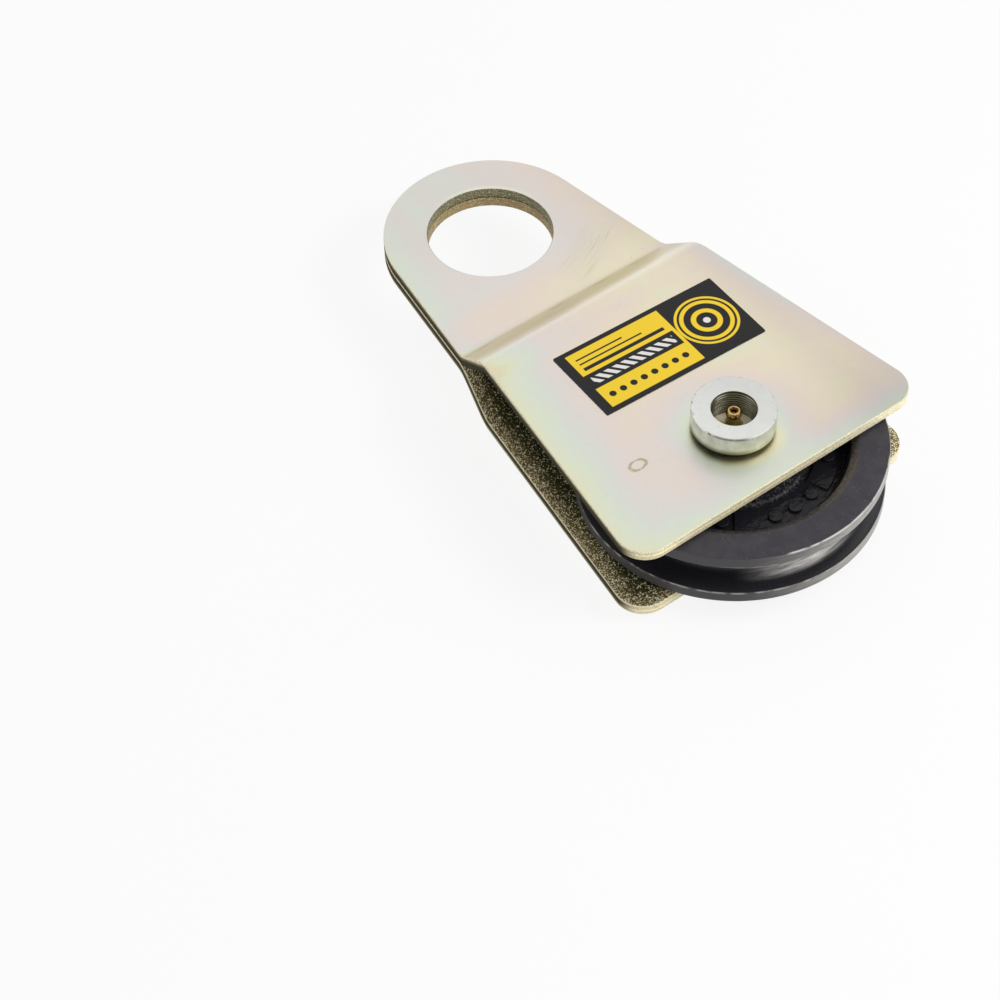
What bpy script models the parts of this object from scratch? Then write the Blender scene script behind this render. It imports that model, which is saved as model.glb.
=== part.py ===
# Snatch block for wire rope: a grooved cast sheave turns on a greased pin between two joggled
# steel cheek plates, and the front plate swings open so that a rope can be laid in the groove.
# Metres. The pin stands along +Z, the shackle eye lies towards +Y, and z = 0 is the flat back face.

from math import atan, cos, hypot, pi, radians, sin, sqrt, tan

import bmesh
import bpy

# Clearances
running_gap = 0.0003
seat_gap = 0.0003
label_gap = 0.0001

# Rope and sheave
rope_diameter = 0.011
rope_allowance = 0.0005
sheave_radius = 0.0625
sheave_width = 0.026
groove_depth = 0.012
groove_flank_angle = radians(14)
rim_backing = 0.0033
rim_edge_break = 0.0007
groove_lip_break = 0.0005
rim_chamfer_depth = 0.0012
rim_chamfer_width = 0.0028
rim_wall_draft = 0.0015
web_thickness = 0.011
web_fillet = 0.0022
hub_radius = 0.027
hub_draft = 0.0022
hub_setback = 0.00035
hub_edge_break = 0.0008

# Bush and thrust washers
bush_wall = 0.0032
bush_setback = 0.0003
grease_groove_width = 0.004
grease_groove_depth = 0.0008
washer_thickness = 0.001
washer_play = 0.0005
washer_inset = 0.003

# Cheek plates
plate_thickness = 0.005
plate_edge_break = 0.0006
foot_half_width = 0.074
foot_reach = 0.0309
foot_corner_radius = 0.012
rope_passage = 0.0265
joggle_run = 0.019
joggle_bend_radius = 0.01
eye_setback = 0.05225
eye_hole_radius = 0.02725
eye_wall = 0.019

# Pin, turned in one piece with its head, and the collar that holds its back end
pin_radius = 0.0125
head_radius = 0.01705
head_thickness = 0.009
head_play = 0.0019
head_edge_break = 0.0007
recess_radius = 0.00915
recess_depth = 0.01185
recess_lip_break = 0.0006
spigot_step = 0.0025
collar_radius = 0.017
collar_thickness = 0.006
collar_edge_break = 0.0008
grease_way_radius = 0.0019
cross_way_radius = 0.0019

# Grease nipple
thread_radius = 0.0027
thread_length = 0.0055
hex_across_flats = 0.007
hex_height = 0.003
nipple_neck_radius = 0.0025
nipple_head_radius = 0.00325
nipple_tip_radius = 0.00245
nipple_height = 0.0101
nipple_head_height = 0.0019
nipple_tip_taper = 0.0011
nipple_mouth_radius = 0.0015
nipple_throat_radius = 0.00095
nipple_throat_depth = 0.0011
nipple_seat_depth = 0.00075
nipple_chamber_radius = 0.0016
nipple_chamber_depth = 0.0088
nipple_outlet_radius = 0.001
ball_radius = 0.00125
ball_seat_gap = 0.00015
spring_wire_radius = 0.00018
spring_radius = 0.0011
spring_turns = 6

# Label
label_width = 0.0799
label_height = 0.0375
label_thickness = 0.0002
label_corner_radius = 0.0006
label_centre_x = 0.0054
label_above_pin = 0.052
label_turn = radians(-2.4)

# Facets
sheave_steps = 64
round_steps = 48
small_steps = 24
eye_hole_steps = 56
eye_arc_steps = 32
corner_arc_steps = 6
bend_arc_steps = 4
groove_arc_steps = 5
smooth_angle = radians(35)

# Heights that follow from the stack of pieces on the pin
hub_half_width = sheave_width / 2 - hub_setback
plate_inner_half = hub_half_width + washer_thickness + 2 * running_gap
mid_z = collar_thickness + seat_gap + plate_thickness + plate_inner_half
plate_outer_half = plate_inner_half + plate_thickness
eye_inner_half = seat_gap / 2
head_bottom_z = mid_z + plate_outer_half + head_play
head_top_z = head_bottom_z + head_thickness
recess_floor_z = head_top_z - recess_depth
spigot_radius = pin_radius - spigot_step
nipple_base_z = recess_floor_z + seat_gap
nipple_tip_z = nipple_base_z + nipple_height

# Places along the plates
joggle_y = sheave_radius + rope_passage
eye_y = joggle_y + joggle_run + eye_setback
eye_radius = eye_hole_radius + eye_wall


def clear_scene():
    for old in list(bpy.data.objects):
        bpy.data.objects.remove(old, do_unlink=True)


def new_collection(name):
    collection = bpy.data.collections.new(name)
    bpy.context.scene.collection.children.link(collection)
    return collection


def new_material(name, colour, roughness, metallic):
    material = bpy.data.materials.new(name)
    material.use_nodes = True
    shader = material.node_tree.nodes["Principled BSDF"]
    shader.inputs["Base Color"].default_value = (*colour, 1)
    shader.inputs["Roughness"].default_value = roughness
    shader.inputs["Metallic"].default_value = metallic
    material.diffuse_color = (*colour, 1)
    return material


def new_object(name, data, collection, material=None):
    obj = bpy.data.objects.new(name, data)
    collection.objects.link(obj)
    if material:
        data.materials.append(material)
    return obj


def new_cutter(name, data):
    cutter = new_object(name, data, cutters)
    cutter.hide_render = True
    cutter.display_type = "WIRE"
    return cutter


def settle(obj):
    """Applies the modifiers, and shades round faces smooth and leaves real edges sharp."""
    bpy.context.view_layer.update()
    graph = bpy.context.evaluated_depsgraph_get()
    mesh = bpy.data.meshes.new_from_object(obj.evaluated_get(graph))
    obj.modifiers.clear()
    obj.data = mesh
    mesh.shade_smooth()
    mesh.set_sharp_from_angle(angle=smooth_angle)


# Shapes

def turned_mesh(name, profile, closed):
    """A profile of (radius, z) points, turned about Z. At +X it runs down its outer side."""
    mesh = bpy.data.meshes.new(name)
    shape = bmesh.new()
    points = [shape.verts.new((radius, 0, z)) for radius, z in profile]
    pairs = list(zip(points, points[1:]))
    if closed:
        pairs.append((points[-1], points[0]))
    for pair in pairs:
        shape.edges.new(pair)
    shape.to_mesh(mesh)
    shape.free()
    return mesh


def add_screw(obj, steps):
    screw = obj.modifiers.new("Turn", "SCREW")
    screw.steps = steps
    screw.render_steps = steps
    screw.use_merge_vertices = True
    screw.merge_threshold = 0.00001
    return screw


def turned(name, profile, steps, material, closed=False, z=0):
    obj = new_object(name, turned_mesh(name, profile, closed), parts, material)
    obj.location.z = z
    add_screw(obj, steps)
    return obj


def turned_cutter(name, profile, steps, z=0):
    cutter = new_cutter(name, turned_mesh(name, profile, False))
    cutter.location.z = z
    add_screw(cutter, steps)
    return cutter


def round_cutter(name, radius, low_z, high_z, y=0, steps=round_steps):
    mesh = bpy.data.meshes.new(name)
    shape = bmesh.new()
    bmesh.ops.create_cone(
        shape, cap_ends=True, segments=steps, radius1=radius, radius2=radius, depth=high_z - low_z
    )
    shape.to_mesh(mesh)
    shape.free()
    cutter = new_cutter(name, mesh)
    cutter.location = (0, y, (low_z + high_z) / 2)
    return cutter


def boolean(obj, operand, operation="DIFFERENCE"):
    cut = obj.modifiers.new(operand.name, "BOOLEAN")
    cut.operation = operation
    cut.solver = "EXACT"
    cut.object = operand
    return cut


def arc(centre_x, centre_y, radius, start, end, steps):
    """Points on a circle from one angle to the other, both ends included."""
    turn = (end - start) / steps
    return [
        (centre_x + radius * cos(start + i * turn), centre_y + radius * sin(start + i * turn))
        for i in range(steps + 1)
    ]


def outline_mesh(name, outline, thickness):
    """A closed flat outline as a filled 2D curve, made a welded mesh that is centred on z = 0."""
    curve = bpy.data.curves.new(name, "CURVE")
    curve.dimensions = "2D"
    curve.fill_mode = "BOTH"
    curve.extrude = thickness / 2
    spline = curve.splines.new("POLY")
    spline.points.add(len(outline) - 1)
    for point, (x, y) in zip(spline.points, outline):
        point.co = (x, y, 0, 1)
    spline.use_cyclic_u = True
    guide = bpy.data.objects.new(name, curve)
    bpy.context.scene.collection.objects.link(guide)
    bpy.context.view_layer.update()
    graph = bpy.context.evaluated_depsgraph_get()
    mesh = bpy.data.meshes.new_from_object(guide.evaluated_get(graph))
    bpy.data.objects.remove(guide, do_unlink=True)
    weld(mesh)
    return mesh


def weld(mesh):
    shape = bmesh.new()
    shape.from_mesh(mesh)
    bmesh.ops.remove_doubles(shape, verts=shape.verts, dist=0.000001)
    bmesh.ops.recalc_face_normals(shape, faces=shape.faces)
    shape.to_mesh(mesh)
    shape.free()


# Cheek plates

def plate_outline():
    """Straight sides run from the foot's rounded corners to a tangent on the eye's arc."""
    rise = eye_y + foot_reach
    tangent = sqrt(foot_half_width**2 + rise**2 - eye_radius**2)
    taper = atan(foot_half_width / rise) - atan(eye_radius / tangent)
    corner_x = (
        foot_half_width * cos(taper) - foot_corner_radius * (1 + sin(taper))
    ) / cos(taper)
    corner_y = foot_corner_radius - foot_reach
    right = arc(corner_x, corner_y, foot_corner_radius, -pi / 2, taper, corner_arc_steps)
    left = arc(-corner_x, corner_y, foot_corner_radius, pi - taper, 3 * pi / 2, corner_arc_steps)
    eye = arc(0, eye_y, eye_radius, taper, pi - taper, eye_arc_steps)
    return right + eye + left


def bend(corner_y, corner_z, radius, side, angle):
    """Points round one bend of the joggle, whose straight faces would meet at the corner.

    side is 1 where the face is hollow and -1 where it is humped.
    """
    reach = radius * tan(angle / 2)
    centre_y = corner_y + side * reach
    centre_z = corner_z + side * radius
    start = -pi / 2 - angle if side > 0 else pi / 2
    end = -pi / 2 if side > 0 else pi / 2 - angle
    return arc(centre_y, centre_z, radius, start, end, bend_arc_steps)


def cheek_plate(name, material, outward):
    """A sheet bent along its outer face, thickened inwards and cut to the outline.

    outward is 1 for the front plate and -1 for the rear one.
    """
    drop = plate_inner_half - eye_inner_half
    angle = atan(drop / joggle_run)
    outer_z = plate_outer_half
    eye_z = eye_inner_half + plate_thickness
    over = plate_thickness
    path = [(-foot_reach - over, outer_z)]
    path += bend(joggle_y, outer_z, joggle_bend_radius + plate_thickness, -1, angle)
    path += bend(joggle_y + joggle_run, eye_z, joggle_bend_radius, 1, angle)
    path.append((eye_y + eye_radius + over, eye_z))

    mesh = bpy.data.meshes.new(name)
    shape = bmesh.new()
    half_width = foot_half_width + over
    points = [shape.verts.new((-half_width, y, outward * z)) for y, z in path]
    edges = [shape.edges.new(pair) for pair in zip(points, points[1:])]
    swept = bmesh.ops.extrude_edge_only(shape, edges=edges)["geom"]
    moved = [item for item in swept if isinstance(item, bmesh.types.BMVert)]
    bmesh.ops.translate(shape, verts=moved, vec=(2 * half_width, 0, 0))
    bmesh.ops.recalc_face_normals(shape, faces=shape.faces)
    shape.faces.ensure_lookup_table()
    if shape.faces[0].normal.z * outward < 0:
        bmesh.ops.reverse_faces(shape, faces=shape.faces)
    shape.to_mesh(mesh)
    shape.free()

    plate = new_object(name, mesh, parts, material)
    plate.location.z = mid_z
    thicken = plate.modifiers.new("Thickness", "SOLIDIFY")
    thicken.thickness = plate_thickness
    thicken.offset = -1
    thicken.use_even_offset = True
    height = 2 * (plate_outer_half + over)
    blank = new_cutter(f"{name}_blank", outline_mesh(f"{name}_blank", plate_outline(), height))
    blank.location.z = mid_z
    boolean(plate, blank, "INTERSECT")
    low, high = mid_z - height / 2, mid_z + height / 2
    eye_hole = round_cutter(f"{name}_eye_hole", eye_hole_radius, low, high, eye_y, eye_hole_steps)
    boolean(plate, eye_hole)
    hole = pin_radius + running_gap if outward > 0 else spigot_radius + seat_gap
    boolean(plate, round_cutter(f"{name}_pin_hole", hole, low, high))
    edge = plate.modifiers.new("Edge", "BEVEL")
    edge.width = plate_edge_break
    edge.segments = 2
    edge.limit_method = "ANGLE"
    edge.angle_limit = radians(50)
    return plate


# Sheave, bush and washers

def sheave_profile():
    """Half of the section above the web's middle plane, from the bore outwards to the groove."""
    groove_radius = rope_diameter / 2 + rope_allowance
    groove_centre = sheave_radius - groove_depth + groove_radius
    tangent_radius = groove_centre - groove_radius * sin(groove_flank_angle)
    tangent_z = groove_radius * cos(groove_flank_angle)
    lip_z = tangent_z + (sheave_radius - tangent_radius) * tan(groove_flank_angle)
    bore = pin_radius + running_gap + bush_wall + seat_gap
    face = sheave_width / 2
    web = web_thickness / 2
    rim_inner = sheave_radius - groove_depth - rim_backing
    rim_foot = rim_inner - rim_wall_draft
    hub_foot = hub_radius + hub_draft

    half = [
        (bore, hub_half_width - hub_edge_break),
        (bore + hub_edge_break, hub_half_width),
        (hub_radius - hub_edge_break, hub_half_width),
        (hub_radius, hub_half_width - hub_edge_break),
        (hub_foot, web + web_fillet),
        (hub_foot + 0.3 * web_fillet, web + 0.3 * web_fillet),
        (hub_foot + web_fillet, web),
        (rim_foot - web_fillet, web),
        (rim_foot - 0.3 * web_fillet, web + 0.3 * web_fillet),
        (rim_foot, web + web_fillet),
        (rim_inner, face - rim_chamfer_depth),
        (rim_inner + rim_chamfer_width, face),
        (sheave_radius - rim_edge_break, face),
        (sheave_radius, face - rim_edge_break),
        (sheave_radius, lip_z + groove_lip_break),
        (sheave_radius - groove_lip_break, lip_z - groove_lip_break * tan(groove_flank_angle)),
    ]
    floor = arc(groove_centre, 0, groove_radius, pi / 2 + groove_flank_angle, pi, groove_arc_steps)
    return half + floor


def sheave_section():
    """The whole section as one loop: the upper half, then the same points mirrored below."""
    upper = sheave_profile()
    lower = [(radius, -z) for radius, z in reversed(upper[:-1])]
    return upper + lower


def ring_section(inner, outer, low_z, high_z, edge_break=0.0):
    """A plain ring, with its outer edges broken where a size is given."""
    if not edge_break:
        return [(inner, high_z), (outer, high_z), (outer, low_z), (inner, low_z)]
    return [
        (inner, high_z),
        (outer - edge_break, high_z),
        (outer, high_z - edge_break),
        (outer, low_z + edge_break),
        (outer - edge_break, low_z),
        (inner, low_z),
    ]


def bush_section():
    inner = pin_radius + running_gap
    outer = inner + bush_wall
    half = hub_half_width - bush_setback
    groove = grease_groove_width / 2
    ring = ring_section(inner, outer, -half, half)
    return ring + [
        (inner, -groove),
        (inner + grease_groove_depth, -groove),
        (inner + grease_groove_depth, groove),
        (inner, groove),
    ]


def thrust_washer(name, side):
    """A flat ring between the hub's face and a cheek plate, on the side given as 1 or -1."""
    near = hub_half_width + running_gap
    far = near + washer_thickness
    low, high = (near, far) if side > 0 else (-far, -near)
    section = ring_section(pin_radius + washer_play, hub_radius - washer_inset, low, high)
    return turned(name, section, round_steps, steel, closed=True, z=mid_z)


# Pin and its collar

def pin_profile():
    shoulder_z = collar_thickness + seat_gap + plate_thickness + seat_gap
    return [
        (0, recess_floor_z),
        (recess_radius, recess_floor_z),
        (recess_radius, head_top_z - recess_lip_break),
        (recess_radius + recess_lip_break, head_top_z),
        (head_radius - head_edge_break, head_top_z),
        (head_radius, head_top_z - head_edge_break),
        (head_radius, head_bottom_z + head_edge_break),
        (head_radius - head_edge_break, head_bottom_z),
        (pin_radius, head_bottom_z),
        (pin_radius, shoulder_z),
        (spigot_radius, shoulder_z),
        (spigot_radius, 0),
        (0, 0),
    ]


def axle_pin():
    pin = turned("axle_pin", pin_profile(), round_steps, zinc)
    over = seat_gap
    thread = round_cutter(
        "nipple_hole",
        thread_radius + seat_gap,
        recess_floor_z - thread_length - 2 * seat_gap,
        recess_floor_z + over,
        steps=small_steps,
    )
    boolean(pin, thread)
    grease_way = round_cutter(
        "grease_way", grease_way_radius, mid_z, recess_floor_z - thread_length, steps=small_steps
    )
    boolean(pin, grease_way)
    cross_way = round_cutter(
        "cross_way", cross_way_radius, mid_z - pin_radius - over, mid_z + pin_radius + over, steps=small_steps
    )
    cross_way.rotation_euler.y = pi / 2
    boolean(pin, cross_way)
    return pin


# Grease nipple

def nipple_outside():
    neck_z = nipple_tip_z - nipple_head_height - nipple_tip_taper
    hex_z = nipple_base_z + hex_height
    shoulder = hex_across_flats / 2 - seat_gap
    return [
        (0, nipple_tip_z),
        (nipple_tip_radius, nipple_tip_z),
        (nipple_head_radius, nipple_tip_z - nipple_tip_taper),
        (nipple_head_radius, nipple_tip_z - nipple_tip_taper - nipple_head_height / 3),
        (nipple_neck_radius, neck_z),
        (nipple_neck_radius, (neck_z + hex_z) / 2),
        (shoulder, hex_z),
        (shoulder, nipple_base_z),
        (thread_radius, nipple_base_z),
        (thread_radius, nipple_base_z - thread_length),
        (0, nipple_base_z - thread_length),
    ]


def nipple_inside():
    """The countersunk mouth, the throat, the ball's seat, the spring chamber and the outlet."""
    throat_z = nipple_tip_z - nipple_throat_depth
    seat_z = throat_z - nipple_seat_depth
    floor_z = nipple_tip_z - nipple_chamber_depth
    mouth_depth = nipple_mouth_radius - nipple_throat_radius
    over = seat_gap
    return [
        (0, nipple_tip_z + over),
        (nipple_mouth_radius, nipple_tip_z + over),
        (nipple_mouth_radius, nipple_tip_z),
        (nipple_throat_radius, nipple_tip_z - mouth_depth),
        (nipple_throat_radius, throat_z),
        (nipple_chamber_radius, seat_z),
        (nipple_chamber_radius, floor_z),
        (nipple_outlet_radius, floor_z),
        (nipple_outlet_radius, nipple_base_z - thread_length - over),
        (0, nipple_base_z - thread_length - over),
    ]


def grease_nipple():
    nipple = turned("grease_nipple", nipple_outside(), small_steps, brass)
    mesh = bpy.data.meshes.new("nipple_hex")
    shape = bmesh.new()
    corner_radius = hex_across_flats / 2 / cos(pi / 6)
    height = hex_height - seat_gap
    bmesh.ops.create_cone(
        shape, cap_ends=True, segments=6, radius1=corner_radius, radius2=corner_radius, depth=height
    )
    shape.to_mesh(mesh)
    shape.free()
    hexagon = new_cutter("nipple_hex", mesh)
    hexagon.location.z = nipple_base_z + hex_height / 2
    boolean(nipple, hexagon, "UNION")
    boolean(nipple, turned_cutter("nipple_bore", nipple_inside(), small_steps))
    return nipple


def ball_centre_z():
    """Where the ball meets the cone of its seat, less the gap between them."""
    slope = hypot(nipple_chamber_radius - nipple_throat_radius, nipple_seat_depth)
    across = nipple_seat_depth / slope
    along = (nipple_chamber_radius - nipple_throat_radius) / slope
    throat_z = nipple_tip_z - nipple_throat_depth
    return throat_z - (ball_radius + ball_seat_gap - nipple_throat_radius * across) / along


def nipple_ball():
    mesh = bpy.data.meshes.new("nipple_ball")
    shape = bmesh.new()
    bmesh.ops.create_uvsphere(shape, u_segments=16, v_segments=10, radius=ball_radius)
    shape.to_mesh(mesh)
    shape.free()
    ball = new_object("nipple_ball", mesh, parts, steel)
    ball.location.z = ball_centre_z()
    return ball


def nipple_spring():
    """A coil from the chamber's floor to the ball, as one wire."""
    low = nipple_tip_z - nipple_chamber_depth + spring_wire_radius + ball_seat_gap
    high = ball_centre_z() - ball_radius - spring_wire_radius - ball_seat_gap
    points_per_turn = 9
    count = spring_turns * points_per_turn
    curve = bpy.data.curves.new("nipple_spring", "CURVE")
    curve.dimensions = "3D"
    curve.bevel_depth = spring_wire_radius
    curve.bevel_resolution = 1
    curve.use_fill_caps = True
    spline = curve.splines.new("POLY")
    spline.points.add(count)
    for i, point in enumerate(spline.points):
        turn = 2 * pi * i / points_per_turn
        height = low + (high - low) * i / count
        point.co = (spring_radius * cos(turn), spring_radius * sin(turn), height, 1)
    return new_object("nipple_spring", curve, parts, steel)


# Label

def label_outline():
    """A rectangle with small round corners, anticlockwise."""
    across = label_width / 2 - label_corner_radius
    up = label_height / 2 - label_corner_radius
    corners = [(across, -up, -pi / 2), (across, up, 0), (-across, up, pi / 2), (-across, -up, pi)]
    outline = []
    for x, y, start in corners:
        outline += arc(x, y, label_corner_radius, start, start + pi / 2, 4)
    return outline


def label():
    mesh = outline_mesh("label", label_outline(), label_thickness)
    sticker = new_object("label", mesh, parts, label_vinyl)
    top = mid_z + plate_outer_half + label_gap + label_thickness / 2
    sticker.location = (label_centre_x, label_above_pin, top)
    sticker.rotation_euler.z = label_turn
    return sticker


clear_scene()
parts = new_collection("snatch_block")
cutters = new_collection("cutters")

zinc = new_material("zinc_plate", (0.8, 0.79, 0.75), 0.32, 1)
front_steel = new_material("front_plate_steel", (0.78, 0.77, 0.68), 0.3, 1)
rear_steel = new_material("rear_plate_steel", (0.62, 0.56, 0.42), 0.4, 1)
collar_steel = new_material("collar_steel", (0.8, 0.8, 0.78), 0.35, 1)
black_casting = new_material("black_casting", (0.03, 0.03, 0.034), 0.4, 0)
bronze = new_material("bronze", (0.55, 0.36, 0.16), 0.35, 1)
brass = new_material("brass", (0.62, 0.45, 0.18), 0.3, 1)
steel = new_material("bright_steel", (0.6, 0.6, 0.6), 0.25, 1)
label_vinyl = new_material("label_vinyl", (0.95, 0.68, 0.05), 0.45, 0)

cheek_plate("rear_plate", rear_steel, -1)
swing = bpy.data.objects.new("front_plate_swing", None)
parts.objects.link(swing)
cheek_plate("front_plate", front_steel, 1).parent = swing
label().parent = swing

spin = bpy.data.objects.new("sheave_spin", None)
parts.objects.link(spin)
turned("sheave", sheave_section(), sheave_steps, black_casting, closed=True, z=mid_z).parent = spin
turned("sheave_bush", bush_section(), round_steps, bronze, closed=True, z=mid_z).parent = spin
thrust_washer("front_thrust_washer", 1)
thrust_washer("rear_thrust_washer", -1)

axle_pin()
collar_bore = spigot_radius + seat_gap
collar_section = ring_section(collar_bore, collar_radius, 0, collar_thickness, collar_edge_break)
turned("rear_collar", collar_section, round_steps, collar_steel, closed=True)
grease_nipple()
nipple_ball()
nipple_spring()
for part in parts.objects:
    if part.type == "MESH":
        settle(part)
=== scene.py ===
import math

import bpy
from mathutils import Matrix, Vector


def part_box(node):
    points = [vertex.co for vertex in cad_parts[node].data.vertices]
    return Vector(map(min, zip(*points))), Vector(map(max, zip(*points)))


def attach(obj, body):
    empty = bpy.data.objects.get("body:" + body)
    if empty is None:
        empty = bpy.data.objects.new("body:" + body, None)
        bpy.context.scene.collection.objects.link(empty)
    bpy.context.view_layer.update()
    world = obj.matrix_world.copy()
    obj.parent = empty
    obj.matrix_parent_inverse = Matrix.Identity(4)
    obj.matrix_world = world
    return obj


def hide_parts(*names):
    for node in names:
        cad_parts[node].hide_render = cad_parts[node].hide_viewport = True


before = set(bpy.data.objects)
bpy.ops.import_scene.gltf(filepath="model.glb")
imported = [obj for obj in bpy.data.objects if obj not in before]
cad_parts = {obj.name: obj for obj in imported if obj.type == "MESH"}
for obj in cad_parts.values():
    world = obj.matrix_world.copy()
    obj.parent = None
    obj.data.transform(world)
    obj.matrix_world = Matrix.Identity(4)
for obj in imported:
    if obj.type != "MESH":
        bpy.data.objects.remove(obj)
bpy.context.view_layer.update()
mm = 0.001
mergeReach = 0.003 * mm    # points nearer than this become one

# The frame: the pin stands along Z on the flat back face, the shackle eye lies towards +Y.
sheaveLow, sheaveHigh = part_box("sheave")
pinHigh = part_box("axle_pin")[1]
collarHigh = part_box("rear_collar")[1]
nippleLow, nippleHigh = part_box("grease_nipple")
labelLow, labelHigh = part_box("label")
midZ = (sheaveLow.z + sheaveHigh.z) / 2
print("frame loaded, the sheave's middle is at", round(midZ / mm, 3), "mm")


# Modelling by hand: a pencil line is drawn with extrude and spin, then turned or extruded

def startFresh():
    if bpy.context.mode != "OBJECT":
        bpy.ops.object.mode_set(mode="OBJECT")
    bpy.ops.object.select_all(action="DESELECT")


def pick(piece):
    startFresh()
    bpy.context.view_layer.objects.active = piece
    piece.select_set(True)


def editAll(piece):
    pick(piece)
    bpy.ops.object.mode_set(mode="EDIT")
    bpy.ops.mesh.select_all(action="SELECT")


def takeName(name):    # the primitive just added gets its name, and its place goes into its mesh
    piece = bpy.context.object
    piece.name = name
    piece.data.name = name
    bpy.ops.object.transform_apply(location=True, rotation=True, scale=True)
    bpy.ops.object.mode_set(mode="EDIT")
    bpy.ops.mesh.select_mode(type="VERT")
    bpy.ops.mesh.select_all(action="SELECT")
    return piece


drawingPlanes = {    # how two numbers lie in space, and the axis that spins anticlockwise there
    "xy": (lambda a, b: Vector((a, b, 0)), (0, 0, -1)),
    "xz": (lambda a, b: Vector((a, 0, b)), (0, 1, 0)),
    "yz": (lambda a, b: Vector((0, a, b)), (-1, 0, 0)),
}


def drawPath(name, plane, start, moves):
    # a move is a point to go to, or a centre, the degrees to swing round it and the steps
    place, axis = drawingPlanes[plane]
    startFresh()
    bpy.ops.mesh.primitive_plane_add(size=1 * mm, location=place(*start))
    piece = takeName(name)
    bpy.ops.mesh.merge(type="CENTER")
    here = Vector(start)
    for move in moves:
        if len(move) == 2:
            stop = Vector(move)
            bpy.ops.mesh.extrude_vertices_move(TRANSFORM_OT_translate={"value": place(*(stop - here))})
        else:
            centre, degrees, steps = move
            angle = math.radians(degrees)
            bpy.ops.mesh.spin(steps=steps, angle=angle, center=place(*centre), axis=axis)
            stop = Vector(centre) + Matrix.Rotation(angle, 2) @ (here - Vector(centre))
        here = stop
    return piece


def closeUp():    # doubles merged, faces turned outwards
    bpy.ops.mesh.select_all(action="SELECT")
    bpy.ops.mesh.remove_doubles(threshold=mergeReach)
    bpy.ops.mesh.normals_make_consistent(inside=False)
    bpy.ops.object.mode_set(mode="OBJECT")


def topCorner(x, z, edge, steps):    # along the top and round its outer corner
    return [(x - edge, z), ((x - edge, z - edge), -90, steps)]


def footCorner(x, z, edge, steps):    # down the side and round its lower corner
    return [(x, z + edge), ((x - edge, z + edge), -90, steps)]


def turned(name, start, moves, steps):
    piece = drawPath(name, "xz", start, moves)
    bpy.ops.mesh.select_all(action="SELECT")
    bpy.ops.mesh.spin(steps=steps, angle=2 * math.pi, center=(0, 0, 0), axis=(0, 0, 1))
    closeUp()
    return piece


def prism(name, start, moves, lowZ, highZ):
    piece = drawPath(name, "xy", start, moves)
    bpy.ops.mesh.select_all(action="SELECT")
    bpy.ops.mesh.remove_doubles(threshold=mergeReach)
    bpy.ops.mesh.edge_face_add()
    bpy.ops.transform.translate(value=(0, 0, lowZ))
    bpy.ops.mesh.extrude_region_move(TRANSFORM_OT_translate={"value": (0, 0, highZ - lowZ)})
    closeUp()
    return piece


def rod(name, radius, lowZ, highZ, sides, x=0, y=0):
    startFresh()
    bpy.ops.mesh.primitive_cylinder_add(
        vertices=sides, radius=radius, depth=highZ - lowZ, location=(x, y, (lowZ + highZ) / 2)
    )
    piece = takeName(name)
    bpy.ops.object.mode_set(mode="OBJECT")
    return piece


def applied(piece, kind, **settings):
    pick(piece)
    modifier = piece.modifiers.new(kind, kind)
    for key, value in settings.items():
        setattr(modifier, key, value)
    bpy.ops.object.modifier_apply(modifier=modifier.name)


def carve(piece, tool, operation="DIFFERENCE"):
    applied(piece, "BOOLEAN", operation=operation, solver="EXACT", object=tool)
    bpy.data.objects.remove(tool, do_unlink=True)


def selectFaces(piece, wanted):    # wanted says yes or no to a face's middle and normal
    pick(piece)
    bpy.ops.object.mode_set(mode="EDIT")
    bpy.ops.mesh.select_mode(type="FACE")
    bpy.ops.mesh.select_all(action="DESELECT")
    bpy.ops.object.mode_set(mode="OBJECT")
    for face in piece.data.polygons:
        face.select = wanted(face.center, face.normal)
    bpy.ops.object.mode_set(mode="EDIT")


def smooth(piece, degrees=32):
    pick(piece)
    bpy.ops.object.shade_smooth_by_angle(angle=math.radians(degrees))
    applied(piece, "WEIGHTED_NORMAL", keep_sharp=True)


def fit(piece, body, slot, material, *nodes):
    piece.data.materials.clear()
    piece.data.materials.append(material)
    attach(piece, body)
    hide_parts(*nodes)


# Shader maths as Python expressions

class Wire:
    def __init__(self, finish, socket):
        self.finish = finish
        self.socket = socket

    def maths(self, operation, *others):
        numbers = dict(enumerate((self, *others)))
        return self.finish.node("ShaderNodeMath", {"operation": operation}, numbers)

    def __add__(self, other):
        return self.maths("ADD", other)

    def __radd__(self, other):
        return self.maths("ADD", other)

    def __sub__(self, other):
        return self.maths("SUBTRACT", other)

    def __rsub__(self, other):
        return (self * -1).maths("ADD", other)

    def __mul__(self, other):
        return self.maths("MULTIPLY", other)

    def __rmul__(self, other):
        return self.maths("MULTIPLY", other)

    def __truediv__(self, other):
        return self.maths("DIVIDE", other)

    def __pow__(self, other):
        return self.maths("POWER", other)

    def atMost(self, other):
        return self.maths("MINIMUM", other)

    def atLeast(self, other):
        return self.maths("MAXIMUM", other)

    def __abs__(self):
        return self.maths("ABSOLUTE")

    def sine(self):
        return self.maths("SINE")

    def exp(self):
        return self.maths("EXPONENT")

    def rise(self, low, high):    # a soft step from 0 at low to 1 at high
        return self.finish.node(
            "ShaderNodeMapRange",
            {"interpolation_type": "SMOOTHSTEP"},
            {"Value": self, "From Min": low, "From Max": high},
        )

    def fall(self, low, high):
        return 1 - self.rise(low, high)

    def hump(self, middle, reach):    # 1 at the middle, 0 from reach away
        return abs(self - middle).fall(0, reach)

    def window(self, low, high, soft):    # 1 between low and high
        return self.rise(low - soft, low + soft) * self.fall(high - soft, high + soft)


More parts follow.
